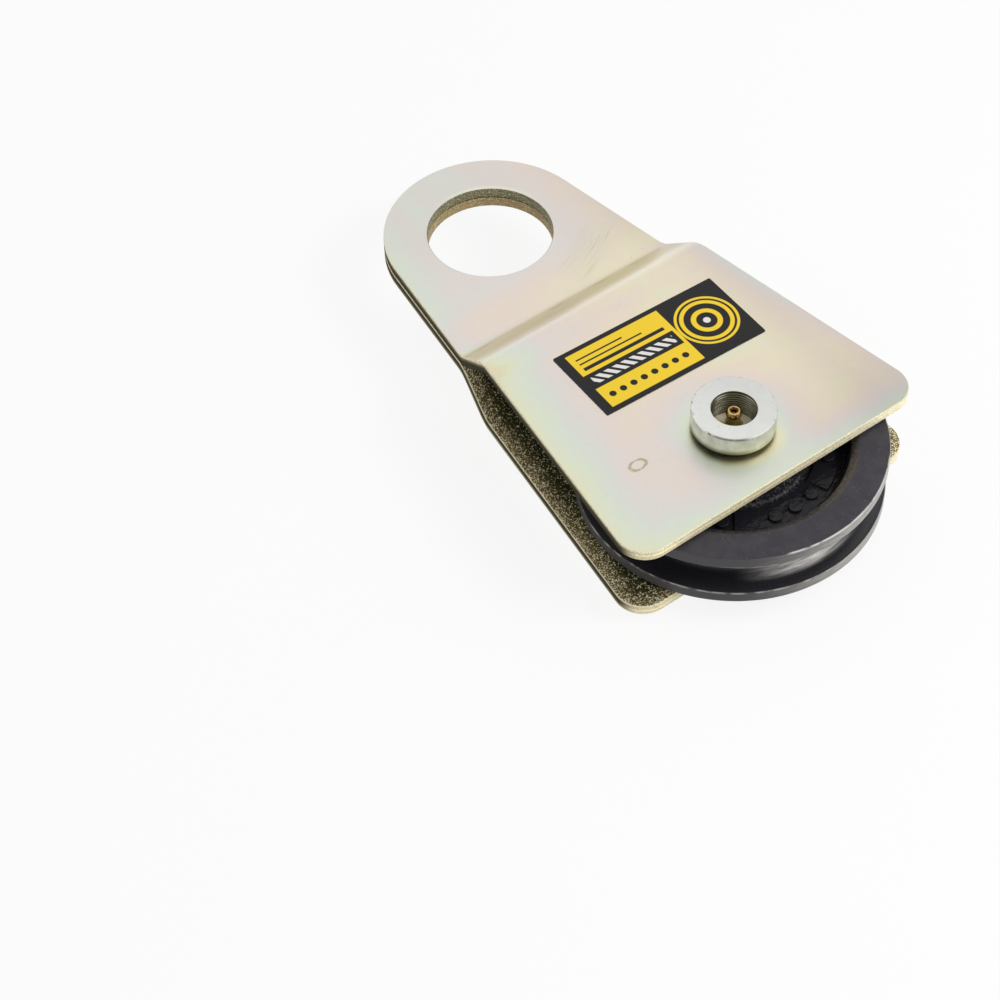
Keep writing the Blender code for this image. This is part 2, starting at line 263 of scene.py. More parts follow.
class Finish:
    def __init__(self, name, **constants):
        self.material = bpy.data.materials.new(name)
        self.material.use_nodes = True
        self.tree = self.material.node_tree
        self.shader = self.tree.nodes["Principled BSDF"]
        for key, value in constants.items():
            self.shader.inputs[key.replace("_", " ")].default_value = value
        place = self.node("ShaderNodeTexCoord", {}, {}, "Object")
        sockets = {0: place, "Scale": 1 / mm}
        self.place = self.node("ShaderNodeVectorMath", {"operation": "SCALE"}, sockets)
        apart = self.node("ShaderNodeSeparateXYZ", {}, {0: self.place})
        self.x, self.y, self.z = (Wire(self, apart.socket.node.outputs[i]) for i in range(3))
        self.round = (self.x * self.x + self.y * self.y) ** 0.5    # millimetres from the pin's axis

    def node(self, kind, settings, sockets, output=0):
        made = self.tree.nodes.new(kind)
        for key, value in settings.items():
            if key == "stops":
                stops = made.color_ramp.elements
                for i, (position, colour) in enumerate(value):
                    stop = stops[i] if i < 2 else stops.new(position)
                    stop.position = position
                    stop.color = colour
            else:
                setattr(made, key, value)
        for key, value in sockets.items():
            if isinstance(value, Wire):
                self.tree.links.new(value.socket, made.inputs[key])
            else:
                made.inputs[key].default_value = value
        return Wire(self, made.outputs[output])

    def point(self, x, y, z):
        return self.node("ShaderNodeCombineXYZ", {}, {0: x, 1: y, 2: z})

    def ringPoint(self, size, height):    # a place at which a noise runs in rings round the axis
        return self.point(self.x / self.round * size, self.y / self.round * size, height)

    def turn(self):    # the angle round the axis, in radians
        return self.node("ShaderNodeMath", {"operation": "ARCTAN2"}, {0: self.y, 1: self.x})

    def noise(self, size, detail=2.0, place=None, twist=0.0):    # size in millimetres
        sockets = {"Vector": place or self.place, "Scale": 1 / size, "Detail": detail}
        sockets["Distortion"] = twist
        return self.node("ShaderNodeTexNoise", {}, sockets)

    def cells(self, size, output="Distance"):
        return self.node("ShaderNodeTexVoronoi", {}, {"Vector": self.place, "Scale": 1 / size}, output)

    def attribute(self, name):
        return self.node("ShaderNodeAttribute", {"attribute_name": name}, {}, "Fac")

    def ramp(self, factor, stops):
        stops = [(position, paint(*colour)) for position, colour in stops]
        return self.node("ShaderNodeValToRGB", {"stops": stops}, {0: factor})

    def mix(self, factor, first, second):
        first = paint(*first) if isinstance(first, tuple) else first
        second = paint(*second) if isinstance(second, tuple) else second
        return self.node("ShaderNodeMix", {"data_type": "RGBA"}, {0: factor, 6: first, 7: second}, 2)

    def shade(self, colour, amount):    # a colour times a plain number
        colour = paint(*colour)[:3] if isinstance(colour, tuple) else colour
        return self.node("ShaderNodeVectorMath", {"operation": "SCALE"}, {0: colour, "Scale": amount})

    def set(self, **wires):
        for key, wire in wires.items():
            self.tree.links.new(wire.socket, self.shader.inputs[key.replace("_", " ")])
        return self.material

    def bump(self, height, distance, strength):    # height from 0 to 1, distance in metres
        sockets = {"Height": height, "Distance": distance, "Strength": strength}
        self.set(Normal=self.node("ShaderNodeBump", {}, sockets))


def paint(red, green, blue):    # a colour as it shows on screen, 0 to 255
    def linear(value):
        value = value / 255
        return value / 12.92 if value <= 0.04045 else ((value + 0.055) / 1.055) ** 2.4

    return (linear(red), linear(green), linear(blue), 1)


# Cheek plates

plateSizes = {
    "thickness": 5 * mm,
    "footHalfWidth": 74 * mm,
    "footCorner": 12 * mm,
    "joggleStart": 89 * mm,
    "joggleRun": 19 * mm,
    "bendRadius": 10 * mm,
    "bendSteps": 16,
    "eyeHole": 27.25 * mm,
    "eyeRadius": 46.25 * mm,
    "edgeBreak": 0.6 * mm,
    "edgeSteps": 3,
    "edgeAngle": 50,
    "cutSteps": 96,
    "pinHole": {"front_plate": 12.8 * mm, "rear_plate": 10.3 * mm},
}


def plateShape():    # where the outline's straight sides and arcs meet, from the front plate's box
    low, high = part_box("front_plate")
    s = plateSizes
    eyeY = high.y - s["eyeRadius"]
    rise = eyeY - low.y
    tangent = math.sqrt(s["footHalfWidth"] ** 2 + rise ** 2 - s["eyeRadius"] ** 2)
    taper = math.atan(s["footHalfWidth"] / rise) - math.atan(s["eyeRadius"] / tangent)
    cornerX = s["footHalfWidth"] - s["footCorner"] * (1 + math.sin(taper)) / math.cos(taper)
    return {"footY": low.y, "eyeY": eyeY, "taper": taper, "cornerX": cornerX}


def plateBlank(lowZ, highZ):
    s, shape = plateSizes, plateShape()
    corner, taper = s["footCorner"], shape["taper"]
    cornerX, cornerY = shape["cornerX"], shape["footY"] + corner
    eyeX = s["eyeRadius"] * math.cos(taper)
    eyeSideY = shape["eyeY"] + s["eyeRadius"] * math.sin(taper)
    swing = 90 + math.degrees(taper)
    cornerSteps = s["cutSteps"] // 6    # a corner is a small arc
    leftStart = (-cornerX - corner * math.cos(taper), cornerY + corner * math.sin(taper))
    moves = [
        ((cornerX, cornerY), swing, cornerSteps),
        (eyeX, eyeSideY),
        ((0, shape["eyeY"]), 180 - 2 * math.degrees(taper), s["cutSteps"]),
        leftStart,
        ((-cornerX, cornerY), swing, cornerSteps),
        (cornerX, shape["footY"]),
    ]
    return prism("blank", (cornerX, shape["footY"]), moves, lowZ, highZ)


def cheekPlate(name, node):
    s, shape = plateSizes, plateShape()
    low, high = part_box("front_plate")    # both plates are drawn as the front one, then one is mirrored
    over = s["thickness"]
    outerZ, eyeZ = high.z, low.z + s["thickness"]
    angle = math.atan((outerZ - eyeZ) / s["joggleRun"])
    degrees = math.degrees(angle)
    hump = s["bendRadius"] + s["thickness"]
    humpReach, hollowReach = hump * math.tan(angle / 2), s["bendRadius"] * math.tan(angle / 2)
    joggleEnd = s["joggleStart"] + s["joggleRun"]
    humpCentre = Vector((s["joggleStart"] - humpReach, outerZ - hump))
    hollowCentre = Vector((joggleEnd + hollowReach, eyeZ + s["bendRadius"]))
    hollowStart = (
        joggleEnd - hollowReach * math.cos(angle),
        eyeZ + hollowReach * math.sin(angle),
    )
    moves = [
        (humpCentre.x, outerZ),
        (humpCentre, -degrees, s["bendSteps"]),
        hollowStart,
        (hollowCentre, degrees, s["bendSteps"]),
        (high.y + over, eyeZ),
    ]
    plate = drawPath(name, "yz", (low.y - over, outerZ), moves)
    halfWidth = s["footHalfWidth"] + over
    bpy.ops.mesh.select_all(action="SELECT")
    bpy.ops.transform.translate(value=(-halfWidth, 0, 0))
    bpy.ops.mesh.extrude_edges_move(TRANSFORM_OT_translate={"value": (2 * halfWidth, 0, 0)})
    bpy.ops.object.mode_set(mode="OBJECT")
    if plate.data.polygons[0].normal.z < 0:
        editAll(plate)
        bpy.ops.mesh.flip_normals()
        bpy.ops.object.mode_set(mode="OBJECT")
    applied(plate, "SOLIDIFY", thickness=s["thickness"], offset=-1, use_even_offset=True)
    carve(plate, plateBlank(low.z - over, high.z + over), "INTERSECT")
    holes = [(s["eyeHole"], shape["eyeY"]), (s["pinHole"][node], 0)]
    for radius, y in holes:
        carve(plate, rod("hole", radius, low.z - over, high.z + over, s["cutSteps"], y=y))
    applied(plate, "BEVEL", width=s["edgeBreak"], segments=s["edgeSteps"], limit_method="ANGLE",
            angle_limit=math.radians(s["edgeAngle"]), use_clamp_overlap=False)
    markDepth(plate, humpCentre, hump, hollowCentre, s["bendRadius"], angle)
    if node == "rear_plate":
        editAll(plate)
        bpy.ops.transform.resize(value=(1, 1, -1), center_override=(0, 0, midZ))
        bpy.ops.mesh.normals_make_consistent(inside=False)
    smooth(plate)
    return plate


def markDepth(plate, humpCentre, hump, hollowCentre, hollow, angle):
    # how deep each point lies under the outer face, in millimetres, kept as an attribute for the finish
    depth = plate.data.attributes.new("depth", "FLOAT", "POINT")
    slope = Vector((math.sin(angle), math.cos(angle)))
    for vertex, value in zip(plate.data.vertices, depth.data):
        point = Vector((vertex.co.y, vertex.co.z))
        overHump, underHollow = point - humpCentre, hollowCentre - point
        humpTurn = math.atan2(overHump.x, overHump.y)
        hollowTurn = math.atan2(underHollow.x, underHollow.y)
        if humpTurn < 0:
            under = hump - overHump.y
        elif humpTurn < angle:
            under = hump - overHump.length
        elif hollowTurn > angle:
            under = hump - overHump.dot(slope)
        elif hollowTurn > 0:
            under = underHollow.length - hollow
        else:
            under = underHollow.y - hollow
        value.value = max(0, min(plateSizes["thickness"], under)) / mm


# Camera, light and floor first, so that each stage can be looked at

studio = {
    "cameraPlace": (-447.3232 * mm, -467.7876 * mm, 760.6443 * mm),
    "cameraTarget": (-85.6757 * mm, 39.4292 * mm, 25.55 * mm),
    "cameraRoll": -0.0335,
    "lens": 87.745,
    "sensor": 36,
    "nearest": 0.05,
    "skyForSurfaces": 0.62,
    "lampPlace": (0.62, -0.69, 0.84),
    "lampTarget": (0, 0.05, 0.02),
    "lampWide": 0.7,
    "lampHigh": 0.5,
    "lampPowers": {True: 0.9, False: 7.0},    # what metals mirror, and what only matt surfaces show
    "floorSize": 8,
    "floorDrop": 0.05 * mm,
    "floorPatch": 60,
    "floorColours": ((246, 246, 246), (250, 250, 250)),
    "floorWhite": 0.86,
}


def makeCamera():
    place, target = Vector(studio["cameraPlace"]), Vector(studio["cameraTarget"])
    back = (place - target).normalized()
    across = Vector((0, 0, 1)).cross(back).normalized()
    up = back.cross(across)
    roll = studio["cameraRoll"]
    right = math.cos(roll) * across + math.sin(roll) * up
    top = back.cross(right)
    startFresh()
    bpy.ops.object.camera_add()
    camera = bpy.context.object
    camera.matrix_world = Matrix.Translation(place) @ Matrix((right, top, back)).transposed().to_4x4()
    camera.data.lens = studio["lens"]
    camera.data.sensor_width = studio["sensor"]
    camera.data.clip_start = studio["nearest"]
    bpy.context.scene.camera = camera


def makeLamp(isMirrored):    # a soft box in front on the right, of which metals mirror only a part
    startFresh()
    bpy.ops.object.light_add(type="AREA", location=studio["lampPlace"])
    lamp = bpy.context.object
    lamp.data.shape = "RECTANGLE"
    lamp.data.size = studio["lampWide"]
    lamp.data.size_y = studio["lampHigh"]
    lamp.data.energy = studio["lampPowers"][isMirrored]
    lamp.visible_glossy = isMirrored
    aim = Vector(studio["lampTarget"]) - Vector(studio["lampPlace"])
    lamp.rotation_euler = aim.to_track_quat("-Z", "Y").to_euler()


def seenRays(tree):    # 1 for what the camera sees, straight or in a mirror or through glass
    rays = tree.nodes.new("ShaderNodeLightPath")
    seen = rays.outputs["Is Camera Ray"]
    for name in ("Is Glossy Ray", "Is Transmission Ray"):
        both = tree.nodes.new("ShaderNodeMath")
        both.operation = "MAXIMUM"
        tree.links.new(seen, both.inputs[0])
        tree.links.new(rays.outputs[name], both.inputs[1])
        seen = both.outputs[0]
    return seen


def makeWorld():
    world = bpy.data.worlds.new("studioWorld")
    world.use_nodes = True
    bpy.context.scene.world = world
    tree = world.node_tree
    light = tree.nodes["Background"]
    light.inputs["Strength"].default_value = studio["skyForSurfaces"]
    light.inputs["Color"].default_value = (1, 1, 1, 1)
    white = tree.nodes.new("ShaderNodeBackground")
    white.inputs["Color"].default_value = (1, 1, 1, 1)
    either = tree.nodes.new("ShaderNodeMixShader")
    tree.links.new(seenRays(tree), either.inputs[0])
    tree.links.new(light.outputs[0], either.inputs[1])
    tree.links.new(white.outputs[0], either.inputs[2])
    tree.links.new(either.outputs[0], tree.nodes["World Output"].inputs["Surface"])


def makeFloor():
    startFresh()
    bpy.ops.mesh.primitive_plane_add(size=studio["floorSize"], location=(0, 0, -studio["floorDrop"]))
    floor = bpy.context.object
    floor.name = "floor"
    finish = Finish("paleFloor", Roughness=1.0, Specular_IOR_Level=0.0)
    tree = finish.tree
    finish.set(Base_Color=finish.mix(finish.noise(studio["floorPatch"]), *studio["floorColours"]))
    glow = tree.nodes.new("ShaderNodeEmission")
    share = Wire(finish, seenRays(tree)) * studio["floorWhite"]
    both = tree.nodes.new("ShaderNodeMixShader")
    tree.links.new(share.socket, both.inputs[0])
    tree.links.new(finish.shader.outputs[0], both.inputs[1])
    tree.links.new(glow.outputs[0], both.inputs[2])
    tree.links.new(both.outputs[0], tree.nodes["Material Output"].inputs["Surface"])
    floor.data.materials.append(finish.material)


makeCamera()
makeWorld()
makeFloor()
makeLamp(True)
makeLamp(False)
bpy.context.scene.view_settings.view_transform = "Standard"
print("camera, light and floor made")


# Zinc on the plates: a pale rainbow film outside, golden and grainy inside, striped at the cut edges,
# with painted shade, highlights and glints

filmTints = [    # from the thin film at edges and round the pin's head to the thick film between
    (0.00, (221, 215, 184)),
    (0.14, (222, 223, 195)),
    (0.30, (216, 223, 205)),
    (0.44, (216, 219, 210)),
    (0.57, (221, 214, 209)),
    (0.70, (226, 214, 204)),
    (0.83, (229, 216, 199)),
    (0.94, (229, 220, 195)),
    (1.00, (225, 222, 200)),
]
plateFinish = {
    "filmReach": {"left": 26.0, "right": 7.0, "foot": 9.0, "head": 8.5},    # how far in the film is thin
    "filmNoise": 0.34,
    # slope and slopeWarmShade are painted shade on the joggle's slope, hump is a painted highlight on
    # the hump before it
    "slope": (214, 206, 176),
    "slopeWarmShade": (197, 187, 146),
    "hump": (246, 240, 224),
    "scuff": (122, 114, 78),
    "headReflection": (253, 238, 190),
    "holeRimHighlight": (232, 234, 206),
    "speck": (110, 104, 80),
    "cutPale": (252, 243, 210),
    "cutOlive": (216, 202, 156),
    "cutLeftShade": (36, 33, 18),
    "rolledEdgeAndHighlight": (240, 230, 198),
    "holeWall": {True: (88, 88, 60), False: (150, 124, 80)},    # front plate, rear plate
    "insideStart": {True: (4.9, 5), False: (4.85, 4.98)},
    "insideShade": (80, 83, 48),
    "insideGold": (164, 142, 96),
    "glintPaint": (255, 246, 206),
    "grainSize": 0.42,
    "stain": (150, 146, 92),
    "stainPlace": (-42.1, 7.4),
    "stainHalf": (4.3, 2.7),
    "scratchPatch": (214, 214, 186),
    "scratch": (176, 174, 140),
    "scratchPlace": (27, 124.5),
    "scratchTurn": math.radians(28),
}


def plateDistances(f):
    # millimetres from the left and right sides, the foot, the outline, the eye hole and the pin's head
    s, shape = plateSizes, plateShape()
    taper = shape["taper"]
    eyeRadius, eyeY, eyeHole = s["eyeRadius"] / mm, shape["eyeY"] / mm, s["eyeHole"] / mm
    middle = eyeRadius + eyeY * math.sin(taper) - f.y * math.sin(taper)
    fromEye = (f.x * f.x + (f.y - eyeY) * (f.y - eyeY)) ** 0.5
    left, right = middle + f.x * math.cos(taper), middle - f.x * math.cos(taper)
    foot = f.y - shape["footY"] / mm
    softness = 9.0
    sockets = {0: left.atMost(right), 1: foot, 2: softness}
    lower = f.node("ShaderNodeMath", {"operation": "SMOOTH_MIN"}, sockets)
    isEye = f.y.rise(eyeY - 4, eyeY + 12)
    outline = lower * (1 - isEye) + (eyeRadius - fromEye) * isEye
    return {
        "left": left,
        "right": right,
        "foot": foot,
        "outline": outline,
        "hole": fromEye - eyeHole,
        "head": f.round - pinHigh.x / mm,
    }


def filmDepth(f, gap):
    # how thick the passivation film is, from 0 to 1
    p = plateFinish
    joggle = plateSizes["joggleStart"] / mm
    cloud = f.noise(38, 2, twist=0.9) + f.noise(13, 2, twist=0.6) * 0.6 - 0.8

    def thinnedBy(side, most):
        return 1 - (gap[side] * (-1 / p["filmReach"][side])).exp() * most

    # the lower part: thin at its edges and round the pin's head, streaked before the bend
    body = thinnedBy("left", 0.9) * thinnedBy("foot", 0.72) * thinnedBy("head", 0.85)
    body = body * thinnedBy("right", f.y.rise(-10, 60) * 0.3 + 0.32)
    streak = f.noise(8, 2, place=f.point(f.x * 0.2, f.y * 1.5, f.z)) - 0.5
    nearBend = f.y.hump(joggle - 8, 13) * f.x.fall(4, 34)
    body = body - nearBend * 0.14 + streak * f.y.hump(joggle - 8, 17) * 0.35

    # the eye: an even film, thinner on the left and at the top, thicker on the right and by the bend
    eye = 0.57 - gap["left"].fall(0, 16) * 0.2 + f.x.rise(24, 44) * 0.16
    eye = eye - f.y.rise(174, 192) * f.x.window(-22, 10, 6) * 0.1
    eye = eye + f.y.fall(120, 134) * 0.2 + f.y.fall(112, 126) * f.x.window(-10, 30, 12) * 0.18
    onEye = f.y.rise(106, 112)
    return body * (1 - onEye) + eye * onEye + cloud * (p["filmNoise"] - onEye * 0.12)


def jogglePaint(f, colour):
    # painted shade makes the slope duller than the flats, a painted highlight brightens the hump before
    # it, and the hollow after it is scuffed
    p = plateFinish
    joggle = plateSizes["joggleStart"] / mm
    joggleEnd = joggle + plateSizes["joggleRun"] / mm
    ends = 1 - f.x.rise(36, 46) * 0.62
    # painted shade on the slope
    slope = f.y.rise(joggle + 2, joggle + 8) * f.y.fall(joggleEnd - 4.5, joggleEnd + 2.5)
    slope = slope * (0.6 + f.noise(14, 2) * 0.8) * ends
    colour = f.mix(slope * 0.9, colour, p["slope"])
    warmShade = f.y.window(joggle + 9, joggleEnd - 3.5, 3) * f.x.rise(-40, 30)
    colour = f.mix(warmShade * 0.4, colour, p["slopeWarmShade"])
    # painted highlight on the hump
    hump = f.y.hump(joggle + 3.2, 5.2)
    colour = f.mix(hump * 0.6, colour, p["hump"])
    place = f.point(f.x * 0.14, f.y, f.z)
    scuff = f.noise(3.4, 3, place=place).rise(0.42, 0.66) * f.noise(17, 1).rise(0.36, 0.6)
    scuffLine = f.y.hump(joggleEnd - 3.6, 1.3) + f.y.hump(joggle + 5.5, 1.6) * 0.3
    return f.mix(scuff * scuffLine * 0.5, colour, p["scuff"])


def frontMarks(f, colour):
    # the ring stain left of the pin, and a sheaf of fine scratches on the eye
    p = plateFinish
    stainX, stainY = p["stainPlace"]
    halfWide, halfHigh = p["stainHalf"]
    across, along = (f.x - stainX) / halfWide, (f.y - stainY) / halfHigh
    fromStain = (across * across + along * along) ** 0.5 + (f.noise(2.2, 2) - 0.5) * 0.35
    ring = fromStain.hump(0.86, 0.3) * f.noise(3.0, 2).rise(0.15, 0.5)
    colour = f.mix(ring * 0.75, colour, p["stain"])

    scratchX, scratchY = p["scratchPlace"]
    turn = p["scratchTurn"]
    fromX, fromY = f.x - scratchX, f.y - scratchY
    along = fromX * math.cos(turn) + fromY * math.sin(turn)
    across = fromY * math.cos(turn) - fromX * math.sin(turn)
    curved = across + along * along * -0.004
    lines = f.noise(0.9, 2, place=f.point(along * 0.03, curved, 0)).rise(0.5, 0.72)
    patch = along.window(-17, 17, 6) * across.window(-6, 7, 3)
    colour = f.mix(patch * 0.3, colour, p["scratchPatch"])
    return f.mix(lines * patch * 0.4, colour, p["scratch"])


def outerFace(f, gap, grain, mottle):
    p = plateFinish
    colour = f.ramp(filmDepth(f, gap), filmTints)
    # painted shade: the far part of the eye is a little darker
    farEyeShade = f.y.rise(128, 190).atLeast(f.y.rise(112, 126) * f.x.rise(10, 34))
    colour = jogglePaint(f, f.shade(colour, 1 - farEyeShade * 0.04))
    # painted shade: darker towards the right side and the lower right
    lowerRightShade = f.x.rise(-5, 45) * f.y.fall(-40, 20)
    colour = f.shade(colour, 1 - f.x.rise(34, 58) * 0.1 - lowerRightShade * 0.14)
    # painted reflection: a pale gold glow on the plate beside the pin's head, on the side towards the
    # foot
    towardsFoot = (f.y * -1 / f.round).rise(0.4, 0.95)
    colour = f.mix(gap["head"].fall(1, 7) * towardsFoot * 0.5, colour, p["headReflection"])
    # painted highlight along the top of the eye hole's rim
    holeHighlight = gap["hole"].hump(0.9, 1.6) * f.y.rise(150, 185) * f.x.rise(-16, 10)
    colour = f.mix(holeHighlight * 0.6, colour, p["holeRimHighlight"])
    colour = f.shade(colour, 0.92 + grain * 0.12 + mottle * 0.04)
    speck = f.cells(7.5).fall(0.018, 0.045) * f.noise(19, 1).rise(0.5, 0.6)
    return f.mix(speck * 0.6, colour, p["speck"])


def cutEdge(f, gap, depth, pits, facingLeft, isFront):
    # streaked below the edge the press rolled over, which is pale as burnished metal and as a painted
    # highlight; painted shade darkens its left side
    p = plateFinish
    lines = f.noise(0.5, 3, place=f.point(f.x * 0.1, f.y * 0.1, depth))
    band = depth.window(0.9, 1.7, 0.3) + depth.window(2.9, 4.4, 0.4)
    # painted highlight: fewer dark bands on the lower right, where the foot's edge is lit
    band = band * (1 - f.x.rise(0, 40) * f.y.fall(0, 30) * 0.6)
    colour = f.mix(band * (0.35 + lines * 0.9), p["cutPale"], p["cutOlive"])
    # painted shade on the cut edges of the left side
    colour = f.mix(facingLeft * (0.5 + depth.rise(0.6, 2.4) * 0.45), colour, p["cutLeftShade"])
    # the rolled-over edge: burnished metal, lightened further as a painted highlight
    rolled = depth.fall(0.5, 0.9)
    if not isFront:
        rolled = rolled.atLeast(depth.window(4.45, 4.9, 0.12))
    colour = f.mix(rolled, colour, p["rolledEdgeAndHighlight"])
    holeWall = gap["hole"].fall(0.3, 0.7)
    colour = f.mix(holeWall * 0.85, colour, p["holeWall"][isFront])
    flecks = f.cells(0.55, output="Color")
    colour = f.shade(colour, 0.5 + pits * 0.5 + flecks * 0.5)
    # painted glints in specks on the cut edge
    edgeGlints = f.noise(0.5, 1).rise(0.6, 0.68) * (1 - facingLeft * 0.9)
    return f.mix(edgeGlints * (0.3 + holeWall * 0.4), colour, p["glintPaint"])


def insideFace(f, gap):
    # painted shade makes it dark between the plates, golden towards the outline, with painted glints
    # that differ from grain to grain
    p = plateFinish
    golden = gap["outline"].fall(0, 10)
    colour = f.mix(golden, p["insideShade"], p["insideGold"])
    colour = f.shade(colour, 0.2 + f.noise(0.9, 2) * 1.1)
    faintest = 0.8 - golden * 0.2 - f.noise(5, 2) * 0.12
    paintedGlints = f.cells(p["grainSize"], output="Color").rise(faintest, faintest + 0.12)
    return f.mix(paintedGlints, colour, p["glintPaint"]), paintedGlints


def zincPlate(name, isFront):
    f = Finish(name, Specular_IOR_Level=0.12)
    depth = f.attribute("depth")
    gap = plateDistances(f)
    grain, mottle, pits = f.noise(0.42, 2), f.noise(4.5, 3), f.noise(0.5, 2)
    outer = outerFace(f, gap, grain, mottle)
    if isFront:
        outer = frontMarks(f, outer)
    # where painted shade darkens the cut edges on the left
    facingLeft = f.x.fall(-36, -20) * gap["foot"].rise(3, 12)
    cut = cutEdge(f, gap, depth, pits, facingLeft, isFront)
    inside, paintedGlints = insideFace(f, gap)
    isInside = depth.rise(*plateFinish["insideStart"][isFront])
    isCut = depth.rise(0.1, 0.4) * (1 - isInside)
    colour = f.mix(depth.rise(0.05, 0.25), outer, cut)
    colour = f.mix(isInside, colour, inside)
    rough = 0.3 + mottle * 0.06 + depth.rise(0, 0.15) * 0.22 + isCut * facingLeft * 0.44
    grit = grain * 0.1 + mottle * 0.06 + isCut * (pits * 0.7) + isInside * (f.noise(0.7, 3) * 1.6)
    f.bump(grit, 0.25 * mm, 0.5)
    isBare = 1 - isCut * (0.85 + facingLeft * 0.15) - isInside * (0.1 + paintedGlints * 0.45)
    return f.set(Base_Color=colour, Roughness=rough, Metallic=isBare)


frontZinc = zincPlate("frontZinc", True)
rearZinc = zincPlate("rearZinc", False)
frontPlate = cheekPlate("frontPlate", "front_plate")
fit(frontPlate, "swing_plate", "front_zinc", frontZinc, "front_plate")
rearPlate = cheekPlate("rearPlate", "rear_plate")
fit(rearPlate, "fixed_plate", "rear_zinc", rearZinc, "rear_plate")
print("plates made,", len(frontPlate.data.polygons), "faces each")


# Sheave: half a section is turned, its marks are raised, and it is mirrored about its middle

sheaveSizes = {
    "bore": 16.3 * mm,
    "hub": 27 * mm,
    "hubFoot": 29.2 * mm,
    "hubHalf": 12.65 * mm,
    "edge": 0.8 * mm,
    "hubFlat": 4 * mm,
    "webHalf": 5.5 * mm,
    "webLines": 22,
    "fillet": 2.2 * mm,
    "wallLines": 5,
    "rimFoot": 45.7 * mm,
    "rimInner": 47.2 * mm,
    "chamferDeep": 1.2 * mm,
    "chamferWide": 2.8 * mm,
    "chamferSag": 0.42,
    "chamferEnd": 0.08 * mm,
    "rimEdge": 0.7 * mm,
    "lipEdge": 0.5 * mm,
    "lipRound": (0.14 * mm, 0.12 * mm),
    "grooveRadius": 6 * mm,
    "grooveDeep": 12 * mm,
    "flank": 14,
    "steps": 360,
    "castLumps": {7 * mm: 0.54 * mm, 1.9 * mm: 0.36 * mm},    # size and height
    "castFromRim": 0.1 * mm,
    "castFromHub": 1.5 * mm,
    "markFoot": 0.7 * mm,
}
webPads = {
    "every": 60,
    "half": 9.0,
    "inner": 33.2 * mm,
    "outer": 43.2 * mm,
    "inset": 0.35 * mm,
    "raise": 0.9 * mm,
}
webBosses = {
    "angles": (16, 30, 44),
    "middle": 38.4 * mm,
    "radius": 2.9 * mm,
    "sunk": 0.8 * mm,
    "raise": 1.3 * mm,
    "edge": 0.5 * mm,
    "edgeSteps": 3,
    "sides": 40,
}


def isPad(radius, angle):    # a wide flat pad, six times round the web
    off = (angle + webPads["every"] / 2) % webPads["every"] - webPads["every"] / 2
    return abs(off) < webPads["half"] and webPads["inner"] < radius < webPads["outer"]


def addBosses(sheave):    # three round bosses between two pads, sunk a little into the web
    b = webBosses
    web = sheaveSizes["webHalf"]
    for degrees in b["angles"]:
        angle = math.radians(degrees)
        x, y = b["middle"] * math.cos(angle), b["middle"] * math.sin(angle)
        boss = rod("boss", b["radius"], web - b["sunk"], web + b["raise"], b["sides"], x, y)
        selectFaces(boss, lambda middle, normal: normal.z > 0.9)
        bpy.ops.mesh.bevel(offset=b["edge"], segments=b["edgeSteps"])
        bpy.ops.mesh.select_all(action="SELECT")
        turn = 2 * math.pi - math.radians(webPads["every"])
        copies = 360 // webPads["every"] - 1
        bpy.ops.mesh.spin(steps=copies, angle=turn, dupli=True, center=(0, 0, 0), axis=(0, 0, 1))
        pick(sheave)
        boss.select_set(True)
        bpy.ops.object.join()


